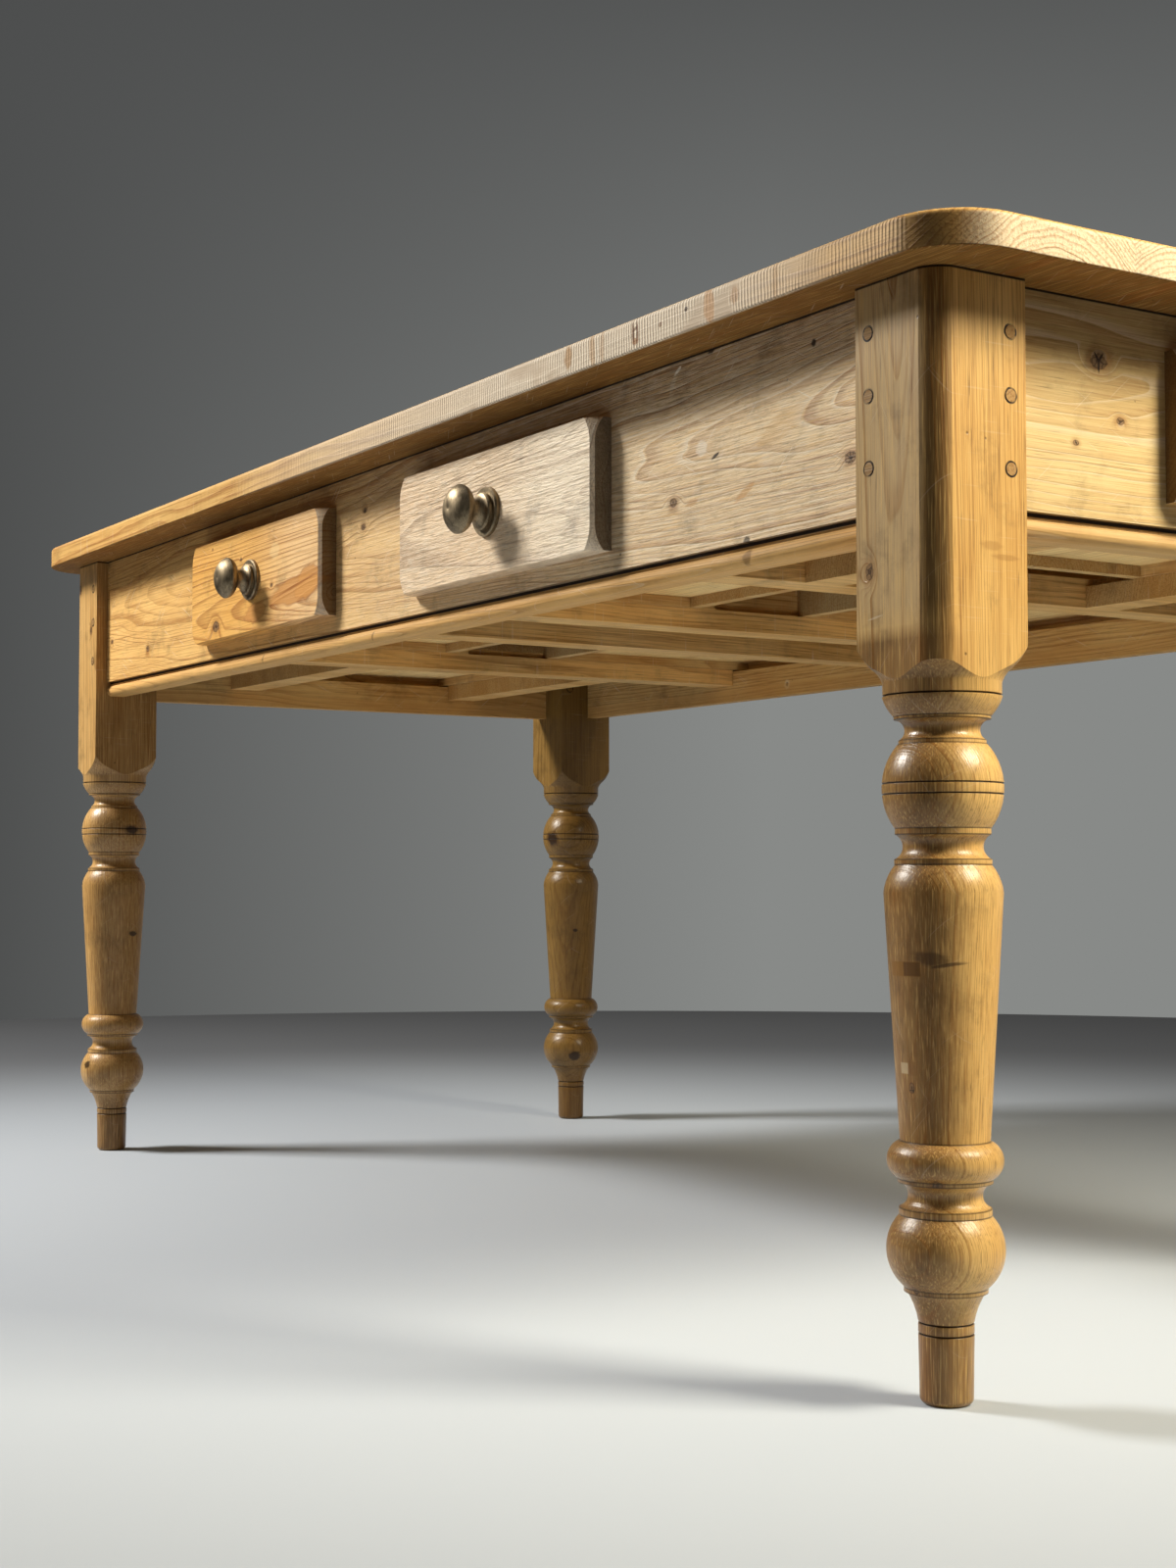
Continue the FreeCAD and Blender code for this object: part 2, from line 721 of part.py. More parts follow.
# Kickers above the drawer sides, screwed up into the top.
kickers = []
screws = []
screw_holes = []
kicker_places = []
for bay in (-drawer_offset, drawer_offset):
    for side in (-1, 1):
        x = bay + side * half_box
        kicker = box(x - kicker_width / 2, x + kicker_width / 2, -apron_inner_y, apron_inner_y,
                     kicker_bottom, underside)
        reach = apron_inner_y - screw_end_inset
        places = [(x, y) for y in evenly(screws_per_long_kicker, -reach, reach)]
        kicker_places.append((kicker, places))
for end in (-1, 1):
    for side in (-1, 1):
        y = side * half_box
        x0, x1 = sorted((end * kicker_outer, end * apron_inner_x))
        kicker = box(x0, x1, y - kicker_width / 2, y + kicker_width / 2, kicker_bottom, underside)
        places = [
            (x, y) for x in evenly(screws_per_short_kicker, x0 + screw_end_inset, x1 - screw_end_inset)
        ]
        kicker_places.append((kicker, places))
for kicker, places in kicker_places:
    holes = [screw_hole(x, y) for x, y in places]
    kickers.append(kicker.cut(holes))
    screws += [screw_solid(x, y) for x, y in places]
    screw_holes += holes
parts["drawer_kickers"] = Part.makeCompound(kickers)
parts["top_screws"] = Part.makeCompound(screws)
parts["drawer_runners"] = Part.makeCompound(runners)

# Table top: edge-joined boards with rounded outer corners and softened arrises.
top = box(-top_length / 2, top_length / 2, -top_width / 2, top_width / 2, underside, table_height)
upright = [e for e in top.Edges if abs(e.Vertexes[0].Z - e.Vertexes[-1].Z) > 1e-6]
top = top.makeFillet(top_corner_radius, upright)
rim = [e for e in top.Edges if e.BoundBox.ZMin > table_height - 1e-6]
top = top.makeFillet(top_upper_arris, rim)
rim = [e for e in top.Edges if e.BoundBox.ZMax < underside + 1e-6]
top = top.makeFillet(top_lower_arris, rim)
top = top.cut(screw_holes)
board_width = top_width / top_board_count
for i in range(top_board_count):
    low = -top_width / 2 + i * board_width
    strip = box(-top_length, top_length, low, low + board_width, underside - 1, table_height + 1)
    parts["top_board_%d" % (i + 1)] = top.common(strip)

# Drawers, and a stop block behind each on the ledge of its left runner.
stops = []
for name, place, turns, half_length, drawer_places in sides:
    if name in ("front", "back"):
        front_width, drawer_length = side_front_width, side_drawer_length
    else:
        front_width, drawer_length = end_front_width, end_drawer_length
    pieces = drawer_pieces(front_width, drawer_length)
    for along in drawer_places:
        if name in ("left", "right"):
            drawer = "drawer_end_" + name
        else:
            on_left = along < 0 if name == "front" else along > 0
            drawer = "drawer_%s_%s" % (name, "left" if on_left else "right")
        for piece, shape in pieces.items():
            local = shape.copy()
            local.translate(Vector(along, 0, 0))
            parts[drawer + "_" + piece] = placed(local, place.x, place.y, turns)
        near = drawer_length + stop_gap
        lip = -half_box - drawer_side_clearance
        stop = box(lip, -half_box + runner_ledge, near, near + stop_length,
                   box_bottom, box_bottom + stop_height)
        stop.translate(Vector(along, 0, 0))
        stops.append(placed(stop, place.x, place.y, turns))
parts["drawer_stops"] = Part.makeCompound(stops)

os.makedirs("parts", exist_ok=True)
for name, shape in parts.items():
    shape.exportStep(os.path.join("parts", name + ".step"))
print("%d nodes, %d solids" % (len(parts), sum(len(s.Solids) for s in parts.values())))
whole = Part.makeCompound(list(parts.values())).BoundBox
print("size %.1f x %.1f x %.1f" % (whole.XLength, whole.YLength, whole.ZLength))
bad = [name for name, shape in parts.items() if not shape.isValid()]
print("invalid shapes: %s" % (", ".join(bad) or "none"))
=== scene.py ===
# %% [markdown]
# # A pine kitchen table with drawers
# The table is a stripped and waxed farmhouse table: turned legs, beaded aprons, a top of
# glued boards and six drawers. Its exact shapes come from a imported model, which this script
# loads as a fixed frame. What is left to Blender is how the wood, the metal and the light look.

# %% Load the fixed frame
import functools
import math

import bmesh
import bpy
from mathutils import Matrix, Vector


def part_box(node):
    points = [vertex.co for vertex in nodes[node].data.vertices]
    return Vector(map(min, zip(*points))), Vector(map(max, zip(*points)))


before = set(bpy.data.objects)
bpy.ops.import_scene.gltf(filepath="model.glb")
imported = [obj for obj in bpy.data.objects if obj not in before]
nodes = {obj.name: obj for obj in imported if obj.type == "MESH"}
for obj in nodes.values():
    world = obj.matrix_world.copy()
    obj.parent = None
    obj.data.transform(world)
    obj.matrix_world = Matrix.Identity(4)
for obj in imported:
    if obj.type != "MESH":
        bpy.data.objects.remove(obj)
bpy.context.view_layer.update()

MM = 1000.0         # millimetres in a metre

# %% [markdown]
# ## Colours and shader nodes
# Wood and wax colours are easy to write as sRGB hex, as a paint chart gives them. Shaders work
# in linear light, so one function turns a hex colour to linear. A second one adds a shader node
# with its settings, and fills its sockets with a number, a colour or another node. Two more start
# an empty material and an empty node group, which is a recipe that several materials share.

# %% Four helpers
def linear(code):
    """A colour written as an sRGB hex value, in the linear light that shaders use."""
    parts = [int(code[i:i + 2], 16) / 255 for i in (1, 3, 5)]
    return [c / 12.92 if c <= 0.04045 else ((c + 0.055) / 1.055) ** 2.4 for c in parts] + [1.0]


def add(tree, kind, inputs=None, **settings):
    """Adds a shader node, applies its settings, then fills or links its input sockets."""
    made = tree.nodes.new("ShaderNode" + kind)
    for name, value in settings.items():
        setattr(made, name, value)
    for name, value in (inputs or {}).items():
        if isinstance(value, bpy.types.Node):
            value = value.outputs[0]
        if isinstance(value, bpy.types.NodeSocket):
            tree.links.new(value, made.inputs[name])
        else:
            made.inputs[name].default_value = linear(value) if isinstance(value, str) else value
    return made


def empty_material(name):
    """A new material whose node tree is still empty."""
    material = bpy.data.materials.new(name)
    material.use_nodes = True
    material.node_tree.nodes.clear()
    return material


def empty_group(name, given, taken):
    """A new node group, its inputs and its outputs. Given says each input's type by its name."""
    group = bpy.data.node_groups.new(name, "ShaderNodeTree")
    for socket, kind in given.items():
        group.interface.new_socket(socket, in_out="INPUT", socket_type="NodeSocket" + kind)
    for socket in taken:
        group.interface.new_socket(socket, in_out="OUTPUT", socket_type="NodeSocketFloat")
    inside = [group.nodes.new("NodeGroup" + end) for end in ("Input", "Output")]
    return group, inside[0].outputs, inside[1].inputs


print("mid grey #808080 is", round(linear("#808080")[0], 3), "in linear light")

# %% [markdown]
# ## Marks and coats
# A finish is built up in coats: a ground colour, then thin layers that each cover only a part.
# What a layer covers is a mask from 0 to 1. Three shapes of mask do most of the work on a table:
# a band, such as a dirty groove, an oval spot, such as a stain, a dent or a scratch, and a
# straight-edged patch, such as a piece of old tape.

# %% Masks in millimetres, and coats of colour
FACTOR, FIRST, SECOND, RESULT = 0, 6, 7, 2      # sockets of a Mix node that mixes colours
SMOOTH = {"interpolation_type": "SMOOTHSTEP"}   # for a Map Range node with soft ends
WAVER = 0.9                                     # how far a spot's border wanders, in its radii


def band(tree, value, low, high, soft):
    """1 where a value lies between two limits, with soft borders."""
    node = functools.partial(add, tree)
    half = (high - low) / 2
    away = node("Math", {0: value, 1: (low + high) / 2}, operation="SUBTRACT")
    away = node("Math", {0: away}, operation="ABSOLUTE")
    edges = {"From Min": half + soft / 2, "From Max": half - soft / 2}
    return node("MapRange", {"Value": away, **edges}, **SMOOTH)


def spot(tree, place, centre, size, turn=0.0):
    """1 inside a wavering oval on a board, fading to 0 round it. Its size is its half widths:
    along, across and, where the surface runs that way, deep."""
    node = functools.partial(add, tree)
    angle, depth = math.radians(-turn), size[2] if len(size) > 2 else max(size) + 4.0
    shrink = (1 / size[0], 1 / size[1], 1 / depth)
    gap = node("VectorMath", {0: place, 1: centre}, operation="SUBTRACT")
    gap = node("VectorRotate", {"Vector": gap, "Angle": angle}, rotation_type="Z_AXIS")
    gap = node("VectorMath", {0: gap, 1: shrink}, operation="MULTIPLY")
    near = node("VectorMath", {0: gap}, operation="LENGTH").outputs["Value"]
    waver = node("TexNoise", {"Vector": gap, "Scale": 1.3, "Detail": 2.0})
    near = node("Math", {0: waver, 1: WAVER, 2: near}, operation="MULTIPLY_ADD")
    # The noise is 0.5 on average, so that the border lies about one radius out.
    border, soft = 1 + WAVER / 2, min(0.3, 1.4 / min(size))
    edges = {"From Min": border + soft, "From Max": border - soft}
    return node("MapRange", {"Value": near, **edges}, **SMOOTH)


def patch(tree, place, low, high, soft=1.0):
    """1 inside a rectangle on a board, given by its lowest and highest along and across."""
    along, across, _ = add(tree, "SeparateXYZ", {0: place}).outputs
    first = band(tree, along, low[0], high[0], soft)
    second = band(tree, across, low[1], high[1], soft)
    return add(tree, "Math", {0: first, 1: second}, operation="MULTIPLY")


def coats(tree, colour, layers):
    """Lays colours over a ground one after another. A layer is a mask, then if it needs one a
    strength or a second mask that the first is multiplied by, and last its colour."""
    for mask, *strength, over in layers:
        if strength:
            mask = add(tree, "Math", {0: mask, 1: strength[0]}, operation="MULTIPLY")
        mixed = add(tree, "Mix", {FACTOR: mask, FIRST: colour, SECOND: over}, data_type="RGBA")
        colour = mixed.outputs[RESULT]
    return colour


# %% [markdown]
# ## How a tree grows, as a shader
# Pine is pale early wood and darker, harder late wood, laid down one ring a year round the pith.
# A board is a flat cut through those nested cones, so the pattern can be computed in space: the
# distance from a wandering pith line, divided by the ring width. The same rule then draws the
# flames on a face, the straight lines on a quarter-cut edge and the arcs on end grain.
# The group below does that. Its place is in millimetres, with X along the grain.

# %% The growth rings, as a node group
GRAIN = ("Late", "Lime", "Fibre", "Fine", "Cloud")      # what the group gives


def make_rings():
    """Node group: place and pith in millimetres in; late wood, lime line and fibre values out."""
    kinds = {"Place": "Vector", "Pith": "Vector", "Lean": "Vector", "Ring": "Float",
             "Wander": "Float", "Swell": "Float"}
    group, given, taken = empty_group("pine rings", kinds, GRAIN)
    node = functools.partial(add, group)
    place = given["Place"]
    # The pith wanders in waves about 450 mm long and 80 mm wide, and leans by so much per mm.
    slow = node("VectorMath", {0: place, 1: (0.0022, 0.012, 0.012)}, operation="MULTIPLY")
    wave = node("TexNoise", {"Vector": slow, "Scale": 1.0, "Detail": 2.5}).outputs["Color"]
    wave = node("VectorMath", {0: wave, 1: (0.5, 0.5, 0.5)}, operation="SUBTRACT")
    wave = node("VectorMath", {0: wave, "Scale": given["Wander"]}, operation="SCALE")
    along = node("SeparateXYZ", {0: place})
    lean = node("VectorMath", {0: given["Lean"], "Scale": along}, operation="SCALE")
    here = node("VectorMath", {0: place, 1: given["Pith"]}, operation="SUBTRACT")
    here = node("VectorMath", {0: here, 1: lean}, operation="ADD")
    here = node("VectorMath", {0: here, 1: wave}, operation="ADD")
    flat = node("VectorMath", {0: here, 1: (0, 1, 1)}, operation="MULTIPLY")
    radius = node("VectorMath", {0: flat}, operation="LENGTH").outputs["Value"]
    radius = node("Math", {0: radius, 1: given["Swell"]}, operation="ADD")
    years = node("Math", {0: radius, 1: given["Ring"]}, operation="DIVIDE")
    # Good and bad summers: the rings come wider and narrower in turns.
    pace = node("TexNoise", {"W": years, "Scale": 0.23, "Detail": 1.0}, noise_dimensions="1D")
    years = node("Math", {0: pace, 1: 3.0, 2: years}, operation="MULTIPLY_ADD")
    year = node("Math", {0: years}, operation="FRACT")
    late = node("ValToRGB", {"Fac": year})
    ramp = late.color_ramp
    ramp.interpolation = "EASE"
    for at, level in ((0.5, 0.05), (0.82, 0.8), (0.93, 1.0)):
        ramp.elements.new(at).color = (level, level, level, 1)
    ramp.elements[-1].color = (0, 0, 0, 1)
    whole = node("Math", {0: years}, operation="FLOOR")
    strength = node("TexWhiteNoise", {"W": whole}, noise_dimensions="1D").outputs["Value"]
    strength = node("Math", {0: strength, 1: 0.65, 2: 0.35}, operation="MULTIPLY_ADD")
    late = node("Math", {0: late, 1: strength}, operation="MULTIPLY")
    group.links.new(late.outputs[0], taken["Late"])
    # The stripping bath eats the soft wood just outside each ring, and lime stays in that line.
    lime = node("MapRange", {"Value": year, "From Min": 0.17, "From Max": 0.0})
    group.links.new(lime.outputs[0], taken["Lime"])
    # Real fibres are finer than a render shows, so the streaks are drawn about 2.4 and 1 mm wide.
    for name, stretch, scale in (("Fibre", (0.016, 1, 1), 0.42), ("Fine", (0.03, 1, 1), 0.95)):
        thin = node("VectorMath", {0: place, 1: stretch}, operation="MULTIPLY")
        streak = node("TexNoise", {"Vector": thin, "Scale": scale, "Detail": 2.0, "Roughness": 0.6})
        group.links.new(streak.outputs[0], taken[name])
    broad = node("VectorMath", {0: place, 1: (0.35, 1, 1)}, operation="MULTIPLY")
    cloud = node("TexNoise", {"Vector": broad, "Scale": 0.016, "Detail": 3.0, "Roughness": 0.55})
    group.links.new(cloud.outputs[0], taken["Cloud"])
    return group


rings = make_rings()
print("pine rings:", len(rings.nodes), "nodes")

# %% [markdown]
# ## A board of stripped pine
# The table was once painted. Stripping and waxing leave honey-coloured wood with orange late
# wood lines, grey-brown dirt in the pores, a little white in the grain and a low sheen. A board
# needs to know which way its grain runs and where its knots are. Round a knot the rings swell
# out, so each knot adds a bulge to the ring distance and lays a dark disc over it.

# %% The board's own coordinates
def place_in_mm(tree, origin=(0, 0, 0)):
    """Object coordinates, in millimetres from an origin that is given in metres."""
    moved = {0: add(tree, "TexCoord").outputs["Object"], 1: origin}
    moved = add(tree, "VectorMath", moved, operation="SUBTRACT")
    return add(tree, "VectorMath", {0: moved, "Scale": MM}, operation="SCALE")


def board_place(tree, order, origin):
    """Object coordinates in mm from an origin, in the board's order: along, across, deep."""
    axis = dict(zip("xyz", add(tree, "SeparateXYZ", {0: place_in_mm(tree, origin)}).outputs))
    return add(tree, "CombineXYZ", {i: axis[letter] for i, letter in enumerate(order)}).outputs[0]


def facing(tree, way):
    """How squarely the surface faces a way: 1 straight at it, 0 along it, -1 straight away."""
    normal = add(tree, "TexCoord").outputs["Normal"]
    return add(tree, "VectorMath", {0: normal, 1: way}, operation="DOT_PRODUCT").outputs["Value"]


def end_grain(tree, order, low=0.75, high=0.95):
    """1 where the surface faces along the grain, as the ends of a board do."""
    ends = facing(tree, [float(letter == order[0]) for letter in "xyz"])
    ends = add(tree, "Math", {0: ends}, operation="ABSOLUTE")
    return add(tree, "MapRange", {"Value": ends, "From Min": low, "From Max": high}, **SMOOTH)


# %% Knots, scattered and at known places
def find_knots(tree, place, knots, spacing, size, share, deep):
    """Distance from the nearest knot, in knot radii, and how far the rings swell round it."""
    node = functools.partial(add, tree)
    swelling = {"From Min": 3.4, "From Max": 0.3}
    flat = node("VectorMath", {0: place, 1: (0.8, 1, deep)}, operation="MULTIPLY")
    cell = node("TexVoronoi", {"Vector": flat, "Scale": 1 / spacing, "Randomness": 0.9})
    away = node("Math", {0: cell.outputs["Distance"], 1: spacing / size}, operation="MULTIPLY")
    chosen = node("SeparateXYZ", {0: cell.outputs["Color"]})
    absent = node("Math", {0: chosen, 1: share}, operation="GREATER_THAN")
    away = node("Math", {0: absent, 1: 50.0, 2: away}, operation="MULTIPLY_ADD")
    swell = node("MapRange", {"Value": away, "To Max": 1.1 * size, **swelling}, **SMOOTH)
    for along, across, depth, radius in knots:
        gap = node("VectorMath", {0: place, 1: (along, across, depth)}, operation="SUBTRACT")
        shape = (0.7 / radius, 1 / radius, deep / radius)
        gap = node("VectorMath", {0: gap, 1: shape}, operation="MULTIPLY")
        near = node("VectorMath", {0: gap}, operation="LENGTH").outputs["Value"]
        away = node("Math", {0: away, 1: near}, operation="MINIMUM")
        bulge = node("MapRange", {"Value": near, "To Max": 1.1 * radius, **swelling}, **SMOOTH)
        swell = node("Math", {0: swell, 1: bulge}, operation="ADD")
    return away, swell


def knot_coats(tree, place, away, late):
    """Layers for the knots: an amber halo, a grey-brown disc, a black eye and cracks."""
    node = functools.partial(add, tree)
    rough = node("TexNoise", {"Vector": place, "Scale": 0.3, "Detail": 2.0})
    away = node("Math", {0: rough, 1: 0.6, 2: away}, operation="MULTIPLY_ADD")
    halo, disc, eye = [
        node("MapRange", {"Value": away, "From Min": outer, "From Max": inner, "To Max": most},
             **SMOOTH)
        for outer, inner, most in ((2.7, 1.1, 0.42), (1.35, 1.05, 0.75), (0.8, 0.45, 0.75))]
    cell = node("TexVoronoi", {"Vector": place, "Scale": 0.15}, feature="DISTANCE_TO_EDGE")
    split = node("MapRange", {"Value": cell, "From Min": 0.07, "From Max": 0.02})
    turns = node("Math", {0: away, 1: 3.4}, operation="MULTIPLY")
    turns = node("Math", {0: turns}, operation="FRACT")
    heart = coats(tree, "#6b5038", [(turns, "#8a6b4a")])
    rim = band(tree, away, 1.12, 1.34, 0.2)
    return [(halo, late), (disc, heart), (rim, 0.55, KNOT), (eye, KNOT), (split, disc, DIRT_AND_SHADE)]


# %% Small damage: dents, scuffs and smudges
def wear_coats(tree, place, scuffs, grime):
    """Layers of smudges, pin-head dents and pale slanting scratches, and the dents' mask."""
    node = functools.partial(add, tree)
    soil = node("TexNoise", {"Vector": place, "Scale": 0.02, "Detail": 6.0, "Roughness": 0.68})
    smudge = node("MapRange", {"Value": soil, "From Min": 0.5, "From Max": 0.78, "To Max": grime},
                  **SMOOTH)
    # Cells of 24 mm, of which three in ten have a dent in their middle.
    cell = node("TexVoronoi", {"Vector": place, "Scale": 1 / 24.0}).outputs
    chosen = node("SeparateXYZ", {0: cell["Color"]})
    few = node("Math", {0: chosen, 1: 0.3}, operation="LESS_THAN")
    dents = node("MapRange", {"Value": cell["Distance"], "From Min": 0.055, "From Max": 0.025,
                              "To Max": 0.65})
    dents = node("Math", {0: dents, 1: few}, operation="MULTIPLY")
    layers = [(smudge, DIRT_AND_SHADE), (dents, KNOT)]
    for turn in (28, -41):
        slant = {"Vector": place, "Angle": math.radians(turn)}
        slant = node("VectorRotate", slant, rotation_type="Z_AXIS")
        slant = node("VectorMath", {0: slant, 1: (0.02, 0.7, 0.02)}, operation="MULTIPLY")
        line = node("TexNoise", {"Vector": slant, "Scale": 1.0, "Detail": 1.0})
        line = node("MapRange", {"Value": line, "From Min": 0.7, "From Max": 0.78, "To Max": scuffs})
        layers.append((line, LIME))
    return layers, dents


def fleck_coats(tree, place, amount):
    """Short white and dark flecks, where a board's surface has weathered into its soft wood."""
    node = functools.partial(add, tree)
    short = node("VectorMath", {0: place, 1: (0.13, 1, 1)}, operation="MULTIPLY")
    fleck = node("TexNoise", {"Vector": short, "Scale": 0.36, "Detail": 3.0, "Roughness": 0.75})
    pale, dark = [
        node("MapRange", {"Value": fleck, "From Min": start, "From Max": full, "To Max": most})
        for start, full, most in ((0.51, 0.6, amount), (0.46, 0.38, amount * 0.8))]
    return [(pale, LIME), (dark, "#6f5233")], fleck


# %% Stripped and waxed pine
PALE, HONEY, AMBER = "#dcb878", "#c49250", "#8f541b"
# The darkest brown serves real dirt, and also painted shade in grooves, creases and gaps.
KNOT, DIRT_AND_SHADE, LIME = "#3d2613", "#24170c", "#efe4d2"
FLECK_RELIEF = 2.4                  # how deep the flecks are, against the fibres
ALL_ALONG = (-900.0, -899.0)        # mm: a fade that is over before the board begins


def pine(name, order, origin=(0, 0, 0), pith=(0, 30, 120), lean=(0, 0.01, 0.02), ring=3.2,
         wander=26.0, early=PALE, tone=HONEY, late=AMBER, contrast=0.7, limed=(0.0, 0.0, 1.0),
         knots=(), scatter=(210, 4.0, 0.4), deep=0.0, sheen=0.62, gloss=0.2, relief=0.6, flecks=0.0,
         scuffs=0.25, grime=0.4, streaky=0.5, ends=(0.35, "#4f3a22"), marks=(), more=None):
    """Waxed pine for one board. Order and origin give the grain's direction and a fixed point,
    early and late the wood of spring and summer, and tone the cloudy wax between them. Limed is
    how white the lines get, and from where to where along the board. A mark is a spot's centre,
    size and turn, its strength and its colour. More adds what only this board has."""
    material = empty_material(name)
    tree = material.node_tree
    node = functools.partial(add, tree)
    place = board_place(tree, order, origin)
    away, swell = find_knots(tree, place, knots, *scatter, deep)
    grain = node("Group", node_tree=rings)
    for socket, value in {"Place": place, "Swell": swell.outputs[0]}.items():
        tree.links.new(value, grain.inputs[socket])
    for socket, value in {"Pith": pith, "Lean": lean, "Ring": ring, "Wander": wander}.items():
        grain.inputs[socket].default_value = value
    lines, edge, fibre, fine, cloud = [grain.outputs[key] for key in GRAIN]
    drift, streaks, hairs, pores = [
        node("MapRange", {"Value": value, "From Min": start, "From Max": full, "To Max": most},
             **SMOOTH)
        for value, start, full, most in ((cloud, 0.3, 0.7, 0.85), (fibre, 0.45, 0.75, streaky),
                                         (fine, 0.5, 0.72, 0.45), (fine, 0.42, 0.25, 0.5))]
    amount, start, full = limed
    fade = {"From Min": start, "From Max": full, "To Max": amount}
    white = node("MapRange", {"Value": node("SeparateXYZ", {0: place}), **fade})
    worn, dents = wear_coats(tree, place, scuffs, grime)
    height = fibre
    for value, share in ((lines, 0.7), (fine, 0.5), (dents, -1.5)):
        height = node("Math", {0: value, 1: share, 2: height}, operation="MULTIPLY_ADD")
    under, over = [], []
    if more:
        under, over, height = more(tree, place, height)
    layers = [(drift, tone)] + under + [(end_grain(tree, order), *ends), (lines, contrast, late),
                                        (streaks, late), (hairs, early)]
    if flecks:
        flecked, short = fleck_coats(tree, place, flecks)
        layers += flecked
        height = node("Math", {0: short, 1: FLECK_RELIEF, 2: height}, operation="MULTIPLY_ADD")
    layers += [(pores, KNOT), (edge, white, LIME)] + worn + knot_coats(tree, place, away, late)
    layers += [(spot(tree, place, *mark[:3]), *mark[3:]) for mark in marks]
    colour = coats(tree, early, layers + over)
    # Old wax is a little glossier on the hard late wood, and dull where hands have rubbed it.
    rough = node("Math", {0: cloud, 1: 0.3, 2: sheen - 0.15}, operation="MULTIPLY_ADD")
    rough = node("Math", {0: lines, 1: -0.06, 2: rough}, operation="MULTIPLY_ADD")
    bump = node("Bump", {"Strength": relief, "Distance": 0.0006, "Height": height})
    shader = node("BsdfPrincipled", {"Base Color": colour, "Roughness": rough, "Normal": bump,
                                     "Specular IOR Level": gloss})
    node("OutputMaterial", {0: shader})
    return material


SHARP = 30      # degrees: an edge that turns by more is rounded


def dress(material, *names):
    """Gives a material to CAD nodes, in every slot that they have."""
    for name in names:
        data = nodes[name].data
        if not data.materials:
            data.materials.append(material)
        for i in range(len(data.materials)):
            data.materials[i] = material


def soften(names, width, segments=2):
    """Welds the loose triangles of CAD nodes and rounds their sharp edges by a width in metres."""
    for name in names:
        weld = nodes[name].modifiers.new("weld", "WELD")
        weld.merge_threshold = 0.00001
        bevel = nodes[name].modifiers.new("arris", "BEVEL")
        bevel.width, bevel.segments = width, segments
        bevel.limit_method, bevel.angle_limit = "ANGLE", math.radians(SHARP)


# %% [markdown]
# ## Aprons
# The apron boards are wide and flat-sawn, with loose flames and a few knots. Above the bead at
# their lower edge runs a narrow quirk, which a brush and a scraper never reach. Old paint and dirt
# and painted shade in the groove make it nearly black. A dark line of dirt and painted shadow marks
# the joint with the top as well, and under the overhang the wood is painted darker as shade, with
# some dirt. The front one is honey-coloured at its left end and is pale, grey and flecked towards
# the right, partly weathered lime and partly painted sheen, with a few gouges, a split, patches
# where resin shows through and a scrap of old paper.

# %% The aprons' dirt and painted shade, and their boards
apron_low, apron_high = [corner.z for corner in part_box("apron_front")]
apron_middle = (apron_low + apron_high) / 2
half_apron = (apron_high - apron_low) * MM / 2
QUIRK = (14.8, 17.6)                # mm above the apron's lower edge
quirk_low, quirk_high = [rise - half_apron for rise in QUIRK]
bead_z = 6.5 - half_apron           # the middle of the bead's face


def apron_dirt_and_shade(outward, pale_and_sheen=0.0):
    """Dirt and painted shade in an apron's quirk, top line and overhang; outward is its face's sign,
    the other argument its grey end of lime and painted sheen.
    """
    def more(tree, place, height):
        node = functools.partial(add, tree)
        along, across, depth = node("SeparateXYZ", {0: place}).outputs
        side = "GREATER_THAN" if outward > 0 else "LESS_THAN"
        outside = node("Math", {0: depth, 1: outward * -8.0}, operation=side)
        # Painted shade under the top's overhang, with some dirt: darker towards the apron's top
        # edge.
        high = node("MapRange", {"Value": across, "From Min": half_apron - 60,
                                 "From Max": half_apron, "To Max": 0.5})
        under = [(high, "#7a5426")]
        if pale_and_sheen:
            # Painted pale grey towards the right: partly weathered lime, partly painted sheen.
            grey_and_sheen = node("MapRange", {"Value": along, "From Min": -330.0, "From Max": 400.0,
                                     "To Max": pale_and_sheen}, **SMOOTH)
            bare = node("Math", {0: across, 1: quirk_low}, operation="GREATER_THAN")
            grey_and_sheen = node("Math", {0: grey_and_sheen, 1: bare}, operation="MULTIPLY")
            flecked, short = fleck_coats(tree, place, 0.35)
            under = [(grey_and_sheen, "#efd9b4")] + under + [(mask, grey_and_sheen, paint) for mask, paint in flecked]
            short = node("Math", {0: short, 1: grey_and_sheen}, operation="MULTIPLY")
            height = node("Math", {0: short, 1: FLECK_RELIEF, 2: height}, operation="MULTIPLY_ADD")
        bead = node("Math", {0: across, 1: quirk_low}, operation="LESS_THAN")
        # The quirk and the joint under the top are painted near black: dirt, and painted shade in
        # the groove and the gap.
        quirk = band(tree, across, quirk_low, quirk_high, 0.5)
        joint = band(tree, across, half_apron - 1.6, half_apron + 2, 0.8)
        over = [(bead, 0.5, "#cfa060"), (quirk, outside, DIRT_AND_SHADE), (joint, outside, DIRT_AND_SHADE)]
        return under, over, height
    return more


